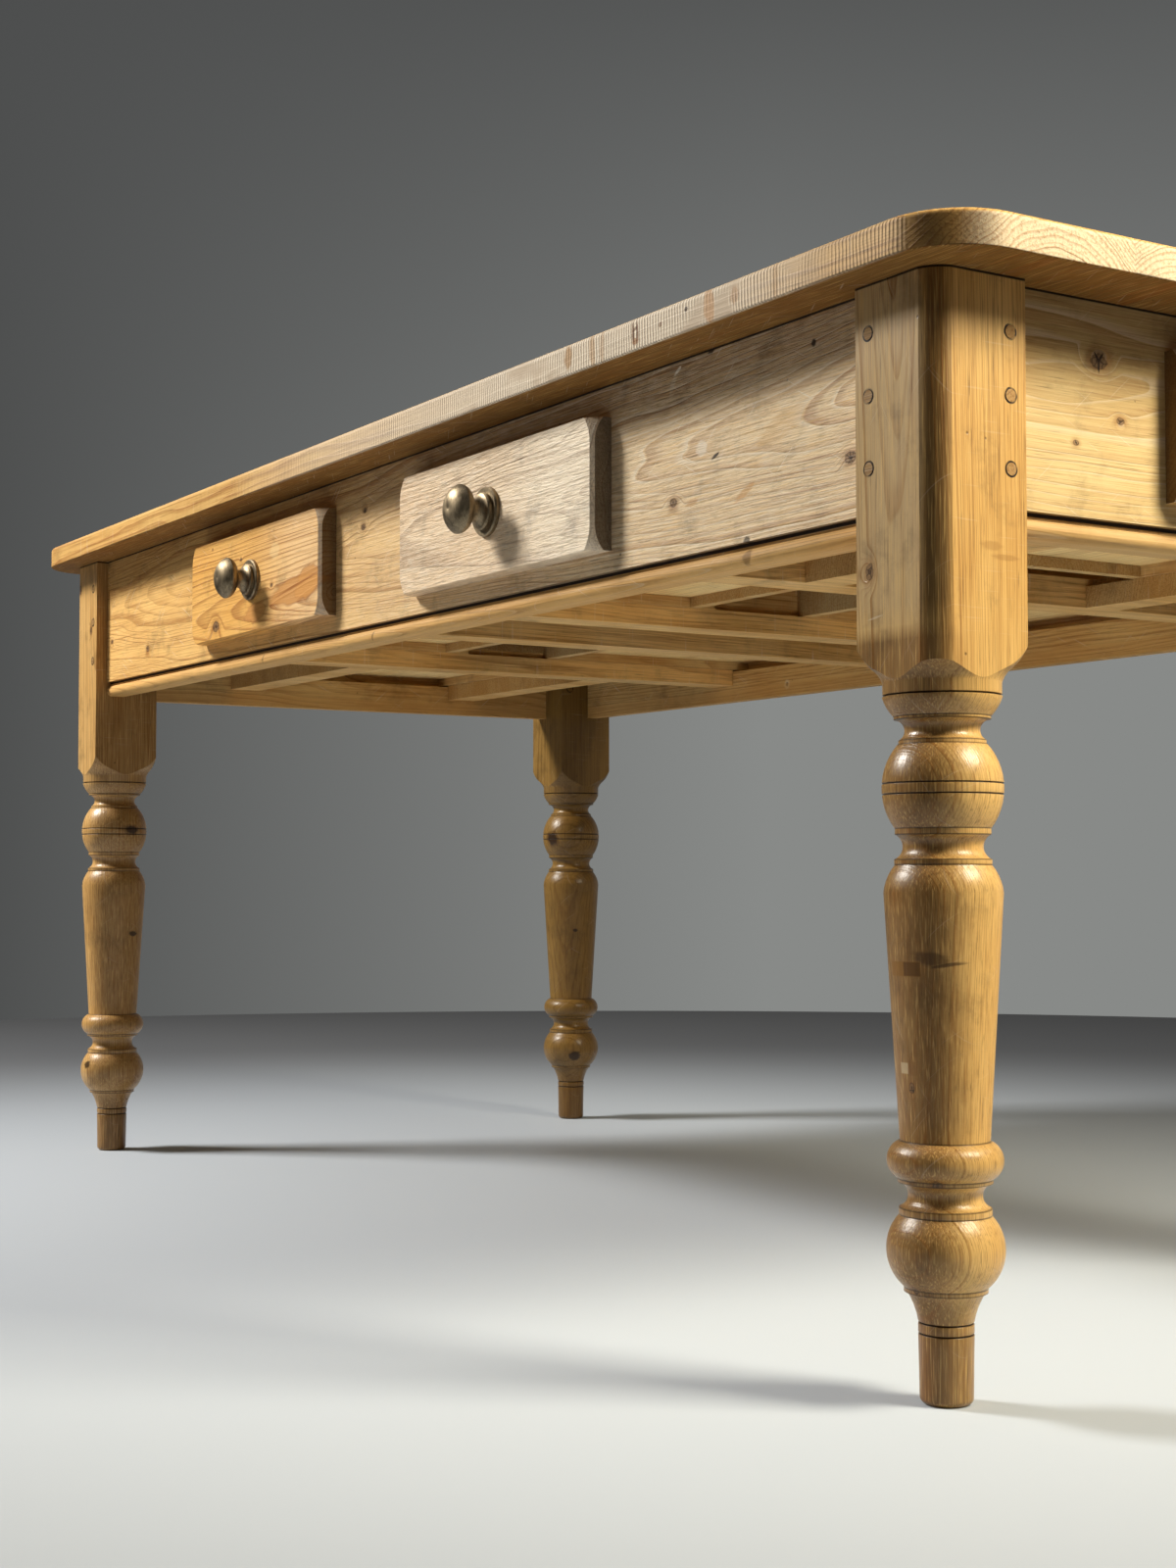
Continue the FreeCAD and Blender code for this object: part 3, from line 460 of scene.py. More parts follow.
front_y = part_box("apron_front")[0].y
front_marks = [((x, bead_z, 0), (5.0, 1.6), 55, 0.9, DIRT_AND_SHADE) for x in (-265.5, -4.5)]
front_marks += [
    ((603.5, bead_z, 0), (4.5, 6.5), -30, 0.9, "#3a1c10"),          # a dark gouge in the bead
    ((603.5, bead_z + 12, 0), (4.0, 3.0), 0, 0.8, DIRT_AND_SHADE),
    ((560.5, 83.6, 0), (5.0, 2.6), 20, 0.9, DIRT_AND_SHADE),                 # a dent under the top
    ((683.2, 62.8, 0), (2.6, 2.6), 0, 0.95, DIRT_AND_SHADE),                 # a nail hole
    ((564.6, 2.8, 0), (5.0, 1.3), 20, 0.95, DIRT_AND_SHADE),                 # a short split, and lime
    ((546.9, 11.7, 0), (7.0, 6.0), 0, 0.55, LIME),
    ((533.9, -27.8, 0), (8.0, 2.6), 8, 0.45, "#b9803f"),            # resin shows through
    ((601.3, -29.8, 0), (13.0, 2.8), 24, 0.5, "#c98f48"),
    ((648.0, 12.0, 0), (30.0, 9.0), 14, 0.3, "#cfa05c"),
    ((515.5, 76.0, 0), (5.0, 1.4), 28, 0.9, "#f4ecda"),             # a scrap of old paper
    ((509.0, 67.0, 0), (2.8, 7.5), -28, 0.45, "#d8ccb2"),
]
dress(pine("front apron pine", "xzy", (0, front_y, apron_middle), pith=(0, 20, 110), ring=2.3,
           early="#f0c47c", tone="#dcaa62", limed=(0.5, -50.0, 420.0), contrast=0.6, scuffs=0.6,
           relief=0.9,
           knots=((-605.1, -37.0, 0, 3.6), (-729.0, -17.5, 0, 2.6), (-21.8, 46.0, 0, 2.8),
                  (-25.0, 30.0, 0, 3.2), (509.0, -24.2, 0, 3.4), (723.2, -24.5, 0, 4.2)),
           marks=front_marks, more=apron_dirt_and_shade(-1, pale_and_sheen=0.85)), "apron_front")
back_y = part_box("apron_back")[1].y
eye = (-580.0, -70.6, -22)            # a small screw eye inside, drawn as a ring
dress(pine("back apron pine", "xzy", (0.3, back_y, apron_middle), pith=(0, 35, -140),
           marks=((eye, (5.5, 5.5), 0, 0.7, "#d9c7a2"), (eye, (2.4, 2.4), 0, 0.8, KNOT)),
           more=apron_dirt_and_shade(1)), "apron_back")
right_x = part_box("apron_right")[1].x
dress(pine("right apron pine", "yzx", (right_x, 0, apron_middle), pith=(0, 30, -130), ring=3.8,
           early="#d8bf8a", tone="#ccab72", contrast=0.35, limed=(0.3, *ALL_ALONG), streaky=0.3,
           knots=((-219, 42, 0, 5.2), (-241, -16, 0, 2.0), (-199, 3, 0, 2.6)),
           marks=(((-223, 43.4, 0), (11.0, 7.5), 20, 0.35, KNOT),
                  ((-158, -70, 0), (1.5, 1.5), 0, 0.9, KNOT),
                  ((-219, 38.5, 0), (0.9, 4.2), 0, 0.95, DIRT_AND_SHADE),     # cracks in the knot
                  ((-221, 45, 0), (0.9, 3.8), 35, 0.95, DIRT_AND_SHADE),
                  ((-217, 45, 0), (0.9, 3.8), -35, 0.95, DIRT_AND_SHADE)),
           more=apron_dirt_and_shade(1)), "apron_right")
left_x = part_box("apron_left")[0].x
dress(pine("left apron pine", "yzx", (left_x, 0, apron_middle), pith=(0, -20, 140),
           more=apron_dirt_and_shade(-1)), "apron_left")
print("aprons from", round(apron_low, 3), "to", round(apron_high, 3), "m")

# %% [markdown]
# ## The top
# Five boards are glued edge to edge. Their outer edges still show the even ripple of the plane,
# pale where the lime of the stripping bath stayed in it, with brown stains where water ran over
# the rim. The ends show the rings as arcs. The underside and the rounded front corner are painted
# darker as shade.

# %% Boards of the top
top_low, top_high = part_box("top_board_1")[0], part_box("top_board_5")[1]
board_width = (top_high.y - top_low.y) / 5
UNDERSIDE = -24.0   # mm: what lies lower is the underside of a board
RIM = -80.0         # mm: what lies further forward is the outer edge of the front board
RIPPLE = 3.6        # mm from one plane mark to the next
rim_marks = [       # water stains and dents, as spots along the rim and down from the top
    ((430.8, -11.0, 0), (5.5, 9.0), 0, 0.8, "#b28a5c"),
    ((466.0, -12.0, 0), (4.0, 14.0), 6, 0.6, "#b28a5c"),
    ((480.0, -12.0, 0), (3.0, 14.0), 0, 0.45, "#b28a5c"),
    ((523.6, -12.0, 0), (1.5, 9.0), 4, 0.85, "#6d4526"),
    ((529.4, -12.0, 0), (1.3, 9.0), 4, 0.85, "#6d4526"),
    ((526.4, -18.5, 0), (3.6, 2.6), 0, 0.8, "#9a6a3e"),
    ((526.4, -9.0, 0), (3.6, 1.2), 20, 0.75, "#6d4526"),
    ((593.3, -9.0, 0), (2.2, 1.8), 0, 0.85, "#3a2412"),
    ((560.0, -13.0, 0), (2.0, 2.0), 0, 0.7, "#7a5230"),
    ((622.0, -12.0, 0), (6.5, 14.0), 8, 0.7, "#bf9060"),
    ((653.0, -12.0, 0), (5.0, 6.0), 0, 0.5, "#a97a4c"),
    ((700.0, -12.0, 0), (3.0, 14.0), 0, 0.4, "#b28a5c"),
]


def underside_shade(tree, place, height):
    """Painted shade: the underside of the boards is painted darker."""
    depth = add(tree, "SeparateXYZ", {0: place}).outputs["Z"]
    # Painted shade: what lies below the underside line is painted dark brown.
    underside_shade_mask = add(tree, "MapRange", {"Value": depth, "From Min": UNDERSIDE + 0.2,
                                   "From Max": UNDERSIDE - 0.2, "To Max": 0.92})
    return [(underside_shade_mask, "#74501e")], [], height


def rim_wear(tree, place, height):
    """Plane ripples, lime and stains on the outer edge of the front board, with painted shade on its
    rounded corner and its underside.
    """
    node = functools.partial(add, tree)
    along, across, depth = node("SeparateXYZ", {0: place}).outputs
    edge = node("MapRange", {"Value": across, "From Min": RIM + 1, "From Max": RIM - 1})
    wobble = node("TexNoise", {"Vector": place, "Scale": 0.03, "Detail": 2.0})
    turns = node("Math", {0: along, 1: 2 * math.pi / RIPPLE}, operation="MULTIPLY")
    turns = node("Math", {0: wobble, 1: 9.0, 2: turns}, operation="MULTIPLY_ADD")
    ripple = node("Math", {0: turns}, operation="SINE")
    ripple = node("MapRange", {"Value": ripple, "From Min": -0.5, "From Max": 0.7})
    part = node("TexNoise", {"Vector": place, "Scale": 0.022, "Detail": 3.0})
    part = node("MapRange", {"Value": part, "From Min": 0.36, "From Max": 0.55})
    ripple = node("Math", {0: ripple, 1: part}, operation="MULTIPLY")
    ripple = node("Math", {0: ripple, 1: edge}, operation="MULTIPLY")
    # Lime lies thicker towards the right end of the rim, but not round the corner.
    lime = edge
    for start, full, low, high in ((-250.0, 330.0, 0.0, 0.95), (630.0, 760.0, 1.0, 0.25)):
        more = node("MapRange", {"Value": along, "From Min": start, "From Max": full, "To Min": low,
                                 "To Max": high})
        lime = node("Math", {0: lime, 1: more}, operation="MULTIPLY")
    furrow = node("MapRange", {"Value": ripple, "From Min": 0.5, "From Max": 0.0, "To Max": 0.55})
    height = node("Math", {0: ripple, 1: 1.6, 2: height}, operation="MULTIPLY_ADD")
    # Painted shade: the rounded corner, which faces away from both lamps, is painted dark.
    corner = node("MapRange", {"Value": facing(tree, (0.7, -0.7, 0)), "From Min": 0.72,
                               "From Max": 0.97, "To Max": 0.65}, **SMOOTH)
    layers = [(lime, "#f0e3cf"), (furrow, lime, "#967650"), (corner, "#4f3519")]
    face = node("CombineXYZ", {0: along, 1: depth})
    for centre, size, turn, strength, colour in rim_marks:
        mark = node("Math", {0: spot(tree, face, centre, size, turn), 1: edge}, operation="MULTIPLY")
        layers.append((mark, strength, colour))
    return underside_shade(tree, place, height)[0], layers, height


board_colours = (("#dfb46c", "#cf9e58"), ("#e3bd7b", "#d6a862"), ("#d8aa62", "#c7944c"),
                 ("#e2b870", "#d0a057"), ("#dbb06a", "#c89a54"))
for i, (early, tone) in enumerate(board_colours):
    middle = (0.13 * i, top_low.y + board_width * (i + 0.5), top_high.z)
    dress(pine("top board pine %d" % (i + 1), "xyz", middle, pith=(0, 24 * (-1) ** i, -60 - 14 * i),
               ring=3.4, early=early, tone=tone, contrast=0.75, grime=0.22, ends=(0.75, "#eadfc6"),
               more=underside_shade if i else rim_wear), "top_board_%d" % (i + 1))
print("top boards are", round(board_width * MM, 1), "mm wide")

# %% [markdown]
# ## Pegs
# Each tenon is pinned by oak pegs that were driven in and cut off flush. Round a peg runs a fine
# black line, where dirt fills the gap. Both the peg and the leg need that line, so one node group
# gives the distance from the nearest peg's axis. The table is symmetric, so the absolute values
# of X and Y bring all the pegs to one corner.

# %% Distance from the nearest peg
PEG_RADIUS = 4.5
PEG_RISES = (44.5, 93.0, 135.0)     # mm above the aprons' lower edge, on the long sides
SIDE_DROP = 4.0                     # mm that the pegs of the end aprons sit lower
PEG_INSET = 13.8                    # mm from the leg block's inner face
leg_low, leg_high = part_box("leg_front_right")
peg_x = leg_low.x * MM + PEG_INSET
peg_y = -leg_high.y * MM + PEG_INSET


def make_peg_gap():
    """Node group: the distance in millimetres from the axis of the nearest peg."""
    group, _, taken = empty_group("peg gap", {}, ["Gap"])
    node = functools.partial(add, group)
    here = node("VectorMath", {0: place_in_mm(group)}, operation="ABSOLUTE")
    nearest = 1000.0                # further than any peg
    for rise in PEG_RISES:
        z = apron_low * MM + rise
        for centre, seen in (((peg_x, 0, z), (1, 0, 1)), ((0, peg_y, z - SIDE_DROP), (0, 1, 1))):
            gap = node("VectorMath", {0: here, 1: centre}, operation="SUBTRACT")
            gap = node("VectorMath", {0: gap, 1: seen}, operation="MULTIPLY")
            gap = node("VectorMath", {0: gap}, operation="LENGTH").outputs["Value"]
            nearest = node("Math", {0: nearest, 1: gap}, operation="MINIMUM")
    group.links.new(nearest.outputs[0], taken["Gap"])
    return group


peg_gap = make_peg_gap()
print("pegs at x", round(peg_x, 1), "and y", round(peg_y, 1))


# %% The pegs' own wood
def peg_rim(tree, place, height):
    """A dark rim round the head of a peg, and darker grey heads on the front legs, partly grey wax
    and partly painted shade.
    """
    rim = band(tree, add(tree, "Group", node_tree=peg_gap), PEG_RADIUS - 0.25, PEG_RADIUS + 1, 0.4)
    # Heads that face the front are painted darker grey: partly grey wax, partly painted shade.
    front = add(tree, "MapRange", {"Value": facing(tree, (0, -1, 0)), "From Min": 0.5,
                                   "From Max": 0.9, "To Max": 0.6})
    return [(front, "#8a6d48")], [(rim, DIRT_AND_SHADE)], height


dress(pine("peg wood", "xyz", early="#bf9a63", tone="#ab8450", late="#7c4c22", contrast=0.3,
           scatter=(400, 1.0, 0.0), ends=(0.0, DIRT_AND_SHADE), more=peg_rim), "joint_pegs")

# %% [markdown]
# ## Legs
# A leg is turned from one square post, so its grain runs straight up and the turned part cuts
# through the rings: the lines close in on every curve. Dirt and old paint sit in each incised
# line. The foot of each fillet is painted dark as shade, and the joint under the top as shadow
# and dirt. The wax is darkest at the feet, and the sides that face inwards are painted darker as
# shade. The leg at the front right has had the most wear: its block is grey-brown in front, partly
# greyed wax and partly painted shade, its front corner and the left of its turned part are painted
# dark as shade, and bits of brown tape stick to its taper.

# %% Dirt and painted shade lines of a leg, against its height
incised = ((45.4, 1.2), (52.4, 1.2), (395.6, 1.1), (402.8, 1.1), (460.6, 1.2))  # height and width
# The creases at the foot of each fillet are painted dark as shade.
creases = (72.4, 75.2, 121.9, 126.3, 142.8, 145.3, 169.9, 349.6, 353.0, 369.4, 373.4, 428.6, 431.2,
           445.0, 446.8)


def make_leg_dirt_and_shade():
    """Node group: a height in millimetres in, 0 to 1 out: dirt in the incised lines, painted shade
    in the creases.
    """
    group, given, taken = empty_group("leg dirt and shade", {"Height": "Float"}, ["Dirt"])
    dirt_and_shade = 0.0
    for middle, width in incised + tuple((z, 0.9) for z in creases):
        line = band(group, given["Height"], middle - width / 2, middle + width / 2, 0.7)
        strength = 0.95 if width > 1 else 0.7
        dirt_and_shade = add(group, "Math", {0: line, 1: strength, 2: dirt_and_shade}, operation="MULTIPLY_ADD")
    group.links.new(dirt_and_shade.outputs[0], taken["Dirt"])
    return group


leg_dirt_and_shade = make_leg_dirt_and_shade()
print(len(incised), "incised lines and", len(creases), "creases on a leg")

# %% Wear and painted shade of the legs
FRONT_FACE = -39.5          # mm from the leg's axis to the front of its block
BLOCK_START = 500.0         # mm from the floor to the block, about
# Each piece of tape from its lowest corner to its highest, its strength and its colour.
TAPE = (((277.5, -11.0), (287.0, 15.0), 0.8, "#80571c"),
        ((277.8, 2.0), (286.7, 14.6), 0.7, "#52330e"),
        ((213.5, 1.5), (222.5, 9.0), 0.55, "#80592e"),
        ((214.5, -6.0), (221.5, 1.5), 0.4, "#d9c9a6"))


def leg_wear_and_shade(front_grey_and_shade, shaded):
    """Dirt in the turned lines and round the pegs, and painted shade in the creases and, with dirt,
    in the joint under the top. The first argument is how grey the front face is, partly greyed wax
    and partly painted shade, and shaded how much painted shade darkens the side that faces right."""
    def more(tree, place, height):
        node = functools.partial(add, tree)
        along, _, depth = node("SeparateXYZ", {0: place}).outputs
        dirt_and_shade = node("Group", node_tree=leg_dirt_and_shade)
        tree.links.new(along, dirt_and_shade.inputs[0])
        # Painted shadow and dirt in the joint under the top.
        seam_shadow = band(tree, along, 733.4, 737.0, 0.8)
        ring = band(tree, node("Group", node_tree=peg_gap), PEG_RADIUS - 0.4, PEG_RADIUS + 1.1, 0.3)
        broken = node("TexNoise", {"Vector": place, "Scale": 0.13, "Detail": 1.0})
        broken = node("MapRange", {"Value": broken, "From Min": 0.42, "From Max": 0.54,
                                   "To Min": 0.4})
        foot = node("MapRange", {"Value": along, "From Min": 75.0, "From Max": 45.0, "To Max": 0.65})
        # Painted shade on the side that faces right.
        inner = node("MapRange", {"Value": facing(tree, (1, 0, 0)), "From Min": 0.1, "From Max": 0.8,
                                  "To Max": shaded}, **SMOOTH)
        under = [(foot, "#5f4320"), (inner, "#593714")]
        layers = [(ring, broken, DIRT_AND_SHADE), (dirt_and_shade, DIRT_AND_SHADE), (seam_shadow, DIRT_AND_SHADE)]
        if front_grey_and_shade:
            outside = node("Math", {0: depth, 1: FRONT_FACE / 2}, operation="LESS_THAN")
            for low, high, strength, colour in TAPE:
                tape = patch(tree, place, low, high)
                tape = node("Math", {0: tape, 1: outside}, operation="MULTIPLY")
                layers.append((tape, strength, colour))
            # The block's front is painted grey-brown: partly grey wax, partly painted shade.
            block = node("MapRange", {"Value": along, "From Min": BLOCK_START - 30,
                                      "From Max": BLOCK_START + 20})
            face = node("MapRange", {"Value": depth, "From Min": FRONT_FACE + 1.5,
                                     "From Max": FRONT_FACE + 0.2, "To Max": front_grey_and_shade})
            # Painted shade on the corner that faces away from both lamps.
            corner = node("MapRange", {"Value": facing(tree, (0.707, -0.707, 0)), "From Min": 0.85,
                                       "From Max": 0.97, "To Max": 0.8})
            # Painted shade: below the block the wood is painted darker towards the left, in this
            # direction in mm.
            left = node("VectorMath", {0: place, 1: (0, 0.66, 0.75)}, operation="DOT_PRODUCT")
            left = node("MapRange", {"Value": left.outputs["Value"], "From Min": 22.0,
                                     "From Max": -10.0, "To Max": 1.4}, **SMOOTH)
            turned = node("MapRange", {"Value": along, "From Min": BLOCK_START + 5,
                                       "From Max": BLOCK_START - 5, "To Max": 0.62})
            under += [(face, block, "#b69c74"), (corner, block, "#412a12"),
                      (turned, left, "#76552e")]
        return under, layers, height
    return more


# %% The four legs
DARK_KNOT = "#281709"       # the heart of a knot that the lathe cut through
leg_looks = {
    "front_right": dict(
        pith=(0, 6, 74), ring=1.7, contrast=0.6, streaky=0.38, early="#e4bc76", tone="#c99a54",
        late="#85521e",
        knots=((543.0, -25.8, FRONT_FACE, 4.0), (205.7, 3.9, -31.2, 2.4), (144.0, 20.0, -24.3, 3.2),
               (76.0, 2.4, -27.9, 2.4)),
        marks=(((289.0, 21.0, -27.0), (4.5, 11.0), 8, 0.6, KNOT),
               ((285.0, 28.0, -20.0), (1.2, 9.0), -14, 0.7, KNOT),
               ((512.0, -20.0, FRONT_FACE), (0.7, 7.0), -8, 0.25, LIME),
               ((556.0, 39.5, 8.0), (3.0, 5.0), 0, 0.3, "#8a5a22"),
               ((549.0, 39.5, 20.0), (2.0, 7.0), 0, 0.35, "#8a5a22"))),
    "front_left": dict(
        pith=(0, 48, 40), ring=2.7, early="#deb474", tone="#c99a58", late="#80501f",
        knots=((706.0, -21.7, FRONT_FACE, 4.0), (650.0, 19.0, FRONT_FACE, 3.5)),
        marks=(((401.0, 38.0, 6.8), (7.0, 9.0, 15.0), 0, 0.5, "#5b3a1c"),
               ((401.0, 38.0, 8.0), (5.0, 7.0, 9.0), 0, 0.88, DARK_KNOT),
               ((271.0, 32.4, 13.3), (3.2, 6.0, 6.5), 0, 0.88, DARK_KNOT),
               ((108.3, 10.2, -36.6), (4.8, 5.5, 7.0), 0, 0.88, DARK_KNOT))),
    # The back left leg's colours are darker: painted shade, for the table's shadow that falls on it.
    "back_left": dict(
        pith=(0, -40, 50), ring=2.9, early="#91713c", tone="#7d602c", late="#5c3d16",
        marks=(((396.0, 11.3, -36.9), (12.0, 12.0, 14.0), 0, 0.5, "#4b2f14"),
               ((396.0, 11.3, -36.9), (8.5, 8.5, 10.0), 0, 0.88, DARK_KNOT),
               ((267.0, 33.3, -12.9), (2.4, 5.0, 3.0), 0, 0.9, DARK_KNOT),
               ((91.0, 33.3, -14.7), (6.5, 8.0, 7.5), 0, 0.88, DARK_KNOT))),
    "back_right": dict(pith=(0, 44, -44), ring=2.6, early="#cf9f5c"),
}
leg_wear_and_shade_by_leg = {"front_right": leg_wear_and_shade(0.85, 0.0), "front_left": leg_wear_and_shade(0.0, 0.55),
             "back_left": leg_wear_and_shade(0.0, 0.3), "back_right": leg_wear_and_shade(0.0, 0.0)}
for name, look in leg_looks.items():
    low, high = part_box("leg_" + name)
    middle = ((low.x + high.x) / 2, (low.y + high.y) / 2, 0.0)
    dress(pine("leg pine " + name.replace("_", " "), "zxy", middle, wander=10, deep=1.0,
               scatter=(260, 3.0, 0.3), sheen=0.35, gloss=0.36, relief=0.3, scuffs=0.1,
               ends=(0.1, DIRT_AND_SHADE), more=leg_wear_and_shade_by_leg[name], **look), "leg_" + name)
print(len(leg_looks), "legs dressed")

# %% [markdown]
# ## Drawers
# Every drawer front is its own plank, so no two look alike. The left one at the front is honey
# coloured with a strong flame, and the right one is pale with fine even lines. Both are painted
# paler towards their right end, as a painted sheen. The slanted facets at the ends of a front cut
# the fibres, and lime has turned them light grey. The flat end faces are painted dark as shade.

# %% Drawer fronts and boxes
# The left front's flame: each oval is drawn dark, then a little smaller and paler inside.
FLAME_LINE, FLAME_WOOD = "#8a4a18", "#d99c54"
flame = (((112, -22, 0), (64, 13.5), 3, 0.55, FLAME_LINE),
         ((11, -35, 0), (28, 10), 4, 0.55, FLAME_LINE),
         ((140, -17, 0), (30, 16), 12, 0.55, FLAME_LINE),
         ((140, -17, 0), (28.5, 14.5), 12, 0.6, FLAME_WOOD),
         ((112, -22, 0), (62, 12), 3, 0.6, FLAME_WOOD),
         ((11, -35, 0), (26, 8.6), 4, 0.6, FLAME_WOOD))
front_looks = {
    "front_left": dict(
        pith=(0, -30, 26), lean=(0, 0.02, 0.06), ring=4.4, wander=24, early="#efbc6c",
        tone="#e2a852", late="#94561e", contrast=0.85, scuffs=0.35,
        knots=((-96, -40, 0, 6.0), (52.3, -11.4, 0, 2.2), (-27.7, 25, 0, 1.8),
               (-106.7, 45.6, 0, 1.2)),
        marks=flame + (((115, -18, 0), (52, 1.4), 8, 0.7, "#9a5a22"),
                       ((60, 24, 0), (12, 8), 0, 0.3, "#f0d6a0"))),
    "front_right": dict(
        pith=(40, -10, 130), ring=2.2, wander=36, early="#fae0bc", tone="#f0cea4", gloss=0.35,
        sheen=0.5, late="#8a5f38", contrast=0.5, limed=(0.2, *ALL_ALONG), scuffs=0.3,
        flecks=0.3, relief=1.0),
    "end_right": dict(pith=(30, 25, -90), ring=3.4),
    "end_left": dict(pith=(-30, -25, 90), ring=3.0),
    "back_left": dict(pith=(20, 15, -80), ring=3.2),
    "back_right": dict(pith=(-20, -15, -110), ring=2.6, early="#e0c295"),
}


def front_facets(order, facets, painted_sheen):
    """Light grey end grain on a front's slanted facets, painted shade on its flat ends, and a
    painted sheen that makes its right half paler by the second argument.
    """
    def more(tree, place, height):
        node = functools.partial(add, tree)
        slanted = end_grain(tree, order, 0.35, 0.6)
        flat = end_grain(tree, order, 0.8, 0.95)
        facet = node("Math", {0: slanted, 1: flat}, operation="SUBTRACT")
        hatch = node("TexNoise", {"Vector": place, "Scale": 0.5, "Detail": 2.0})
        facet = node("Math", {0: facet, 1: hatch}, operation="MULTIPLY", use_clamp=True)
        # Painted sheen: the right half is painted paler.
        fade = node("MapRange", {"Value": node("SeparateXYZ", {0: place}), "From Min": -20.0,
                                 "From Max": 130.0, "To Max": painted_sheen}, **SMOOTH)
        # Painted shade: the flat end faces are painted dark.
        return [(fade, "#fff0d6")], [(facet, facets, "#dcd3c4"), (flat, 0.7, "#43331f")], height
    return more


for name, look in front_looks.items():
    order = "yzx" if name.startswith("end") else "xzy"
    low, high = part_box("drawer_%s_front" % name)
    middle = (low + high) / 2
    outer = middle.copy()           # the middle of the front's outer face
    if order == "yzx":
        outer.x = high.x if name == "end_right" else low.x
    else:
        outer.y = low.y if name.startswith("front") else high.y
    words = name.replace("_", " ")
    facets, painted_sheen = {"front_left": (1.0, 0.3), "front_right": (0.45, 0.8)}.get(name, (1.0, 0.0))
    dress(pine("drawer front pine " + words, order, outer,
               more=front_facets(order, facets, painted_sheen), **look), "drawer_%s_front" % name)
    box_order = "xyz" if order == "yzx" else "yxz"
    dress(pine("drawer box pine " + words, box_order, middle, pith=(0, 20, -60), sheen=0.65,
               early="#dcbb80", contrast=0.5),
          *["drawer_%s_%s" % (name, part) for part in ("side_left", "side_right", "back")])
    dress(pine("drawer bottom pine " + words, "xyz", middle, pith=(0, 30, -70), ring=4.0,
               sheen=0.7, early="#ffe0a0", tone="#f6cc84", late="#b07c40", contrast=0.5,
               grime=0.15), "drawer_%s_bottom" % name)
dress(pine("runner pine", "yxz", (0, 0, 0.6), sheen=0.65, early="#f0c682", tone="#d8a458",
           contrast=0.5), "drawer_runners", "drawer_kickers", "drawer_stops")
print(len(front_looks), "drawers dressed")

# %% [markdown]
# ## Metal
# The knobs are turned brass that was darkened with acid and brushed back, so the tool's fine
# lines show. The screws are plain zinc-plated steel.

# %% Antique brass and zinc-plated steel
def metal(name, dark, light, roughness, brushing):
    """Metal with fine brushed lines along its own vertical and a cloudy patina."""
    material = empty_material(name)
    tree = material.node_tree
    node = functools.partial(add, tree)
    place = place_in_mm(tree)
    # The brush leaves lines of about 0.2 mm, drawn here 1 mm wide so that they show.
    thin = node("VectorMath", {0: place, 1: (1, 1, 0.06)}, operation="MULTIPLY")
    lines = node("TexNoise", {"Vector": thin, "Scale": 1.0, "Detail": 3.0})
    cloud = node("TexNoise", {"Vector": place, "Scale": 0.12, "Detail": 3.0})
    patina = node("Math", {0: lines, 1: brushing, 2: cloud}, operation="MULTIPLY_ADD")
    patina = node("MapRange", {"Value": patina, "From Min": 0.55, "From Max": 1.05})
    rough = node("Math", {0: lines, 1: 0.25, 2: roughness - 0.12}, operation="MULTIPLY_ADD")
    bump = node("Bump", {"Strength": 0.35, "Distance": 0.0003, "Height": lines})
    colour = coats(tree, dark, [(patina, light)])
    shader = node("BsdfPrincipled", {"Base Color": colour, "Metallic": 1.0, "Roughness": rough,
                                     "Normal": bump})
    node("OutputMaterial", {0: shader})
    return material


knobs = [n for n in nodes if n.endswith("_knob")]
dress(metal("antique brass", "#4c4030", "#9a8a70", 0.46, 0.8), *knobs)
steel = metal("zinc-plated steel", "#808082", "#a4a4a8", 0.4, 0.3)
dress(steel, "top_screws", *[n for n in nodes if n.endswith("_knob_screw")])
print(len(knobs), "knobs dressed")

# %% [markdown]
# ## Softened edges
# Handled wood has no sharp edges. A CAD mesh is loose triangles, so a Weld modifier joins them
# first, and a small Bevel modifier then rounds each sharp edge. Both stay live, so the model's
# own mesh isn't touched.

# %% Soften the arrises
soften([n for n in nodes if n.startswith(("apron", "top_board", "leg"))], 0.0007)
soften([n for n in nodes if n.startswith("drawer") and not n.endswith(("knob", "_front"))], 0.0005)
soften([n for n in nodes if n.startswith("drawer") and n.endswith("_front")], 0.0015, segments=3)
print(sum(bool(nodes[n].modifiers) for n in nodes), "pieces softened")

# %% [markdown]
# ## Floor, light and camera
# A pale floor disc carries the table's shadow. Far from the table it is painted darker, as
# shade where the lamps' light falls off, into the grey of the wall. Soft lamps light the table: a
# strong one far to the left, a warmer one near the right end and a weak one overhead. The wall is
# the world's colour where the camera or a shiny surface sees it, painted with light and shade.
# Everything else gets only a faint warm fill from the world, as in a room with dark corners.

# %% Floor
def studio_floor(radius):
    """A pale disc round the table, painted darker towards its edge as shade."""
    bm = bmesh.new()
    bmesh.ops.create_circle(bm, cap_ends=True, segments=128, radius=radius)
    mesh = bpy.data.meshes.new("floor")
    bm.to_mesh(mesh)
    bm.free()
    floor = bpy.data.objects.new("floor", mesh)
    bpy.context.scene.collection.objects.link(floor)
    # Smooth concrete with a matt seal, which blurs what it mirrors. From 0.6 m out it is painted
    # darker, as shade where the lamps' light falls off.
    material = empty_material("sealed concrete floor")
    node = functools.partial(add, material.node_tree)
    out = node("VectorMath", {0: node("TexCoord").outputs["Object"]}, operation="LENGTH")
    fade = node("MapRange", {"Value": out.outputs["Value"], "From Min": 0.6, "From Max": 2.3},
                **SMOOTH)
    colour = coats(material.node_tree, "#c3ccd8", [(fade, "#71747a")])
    node("OutputMaterial", {0: node("BsdfPrincipled", {"Base Color": colour, "Roughness": 0.6})})
    mesh.materials.append(material)


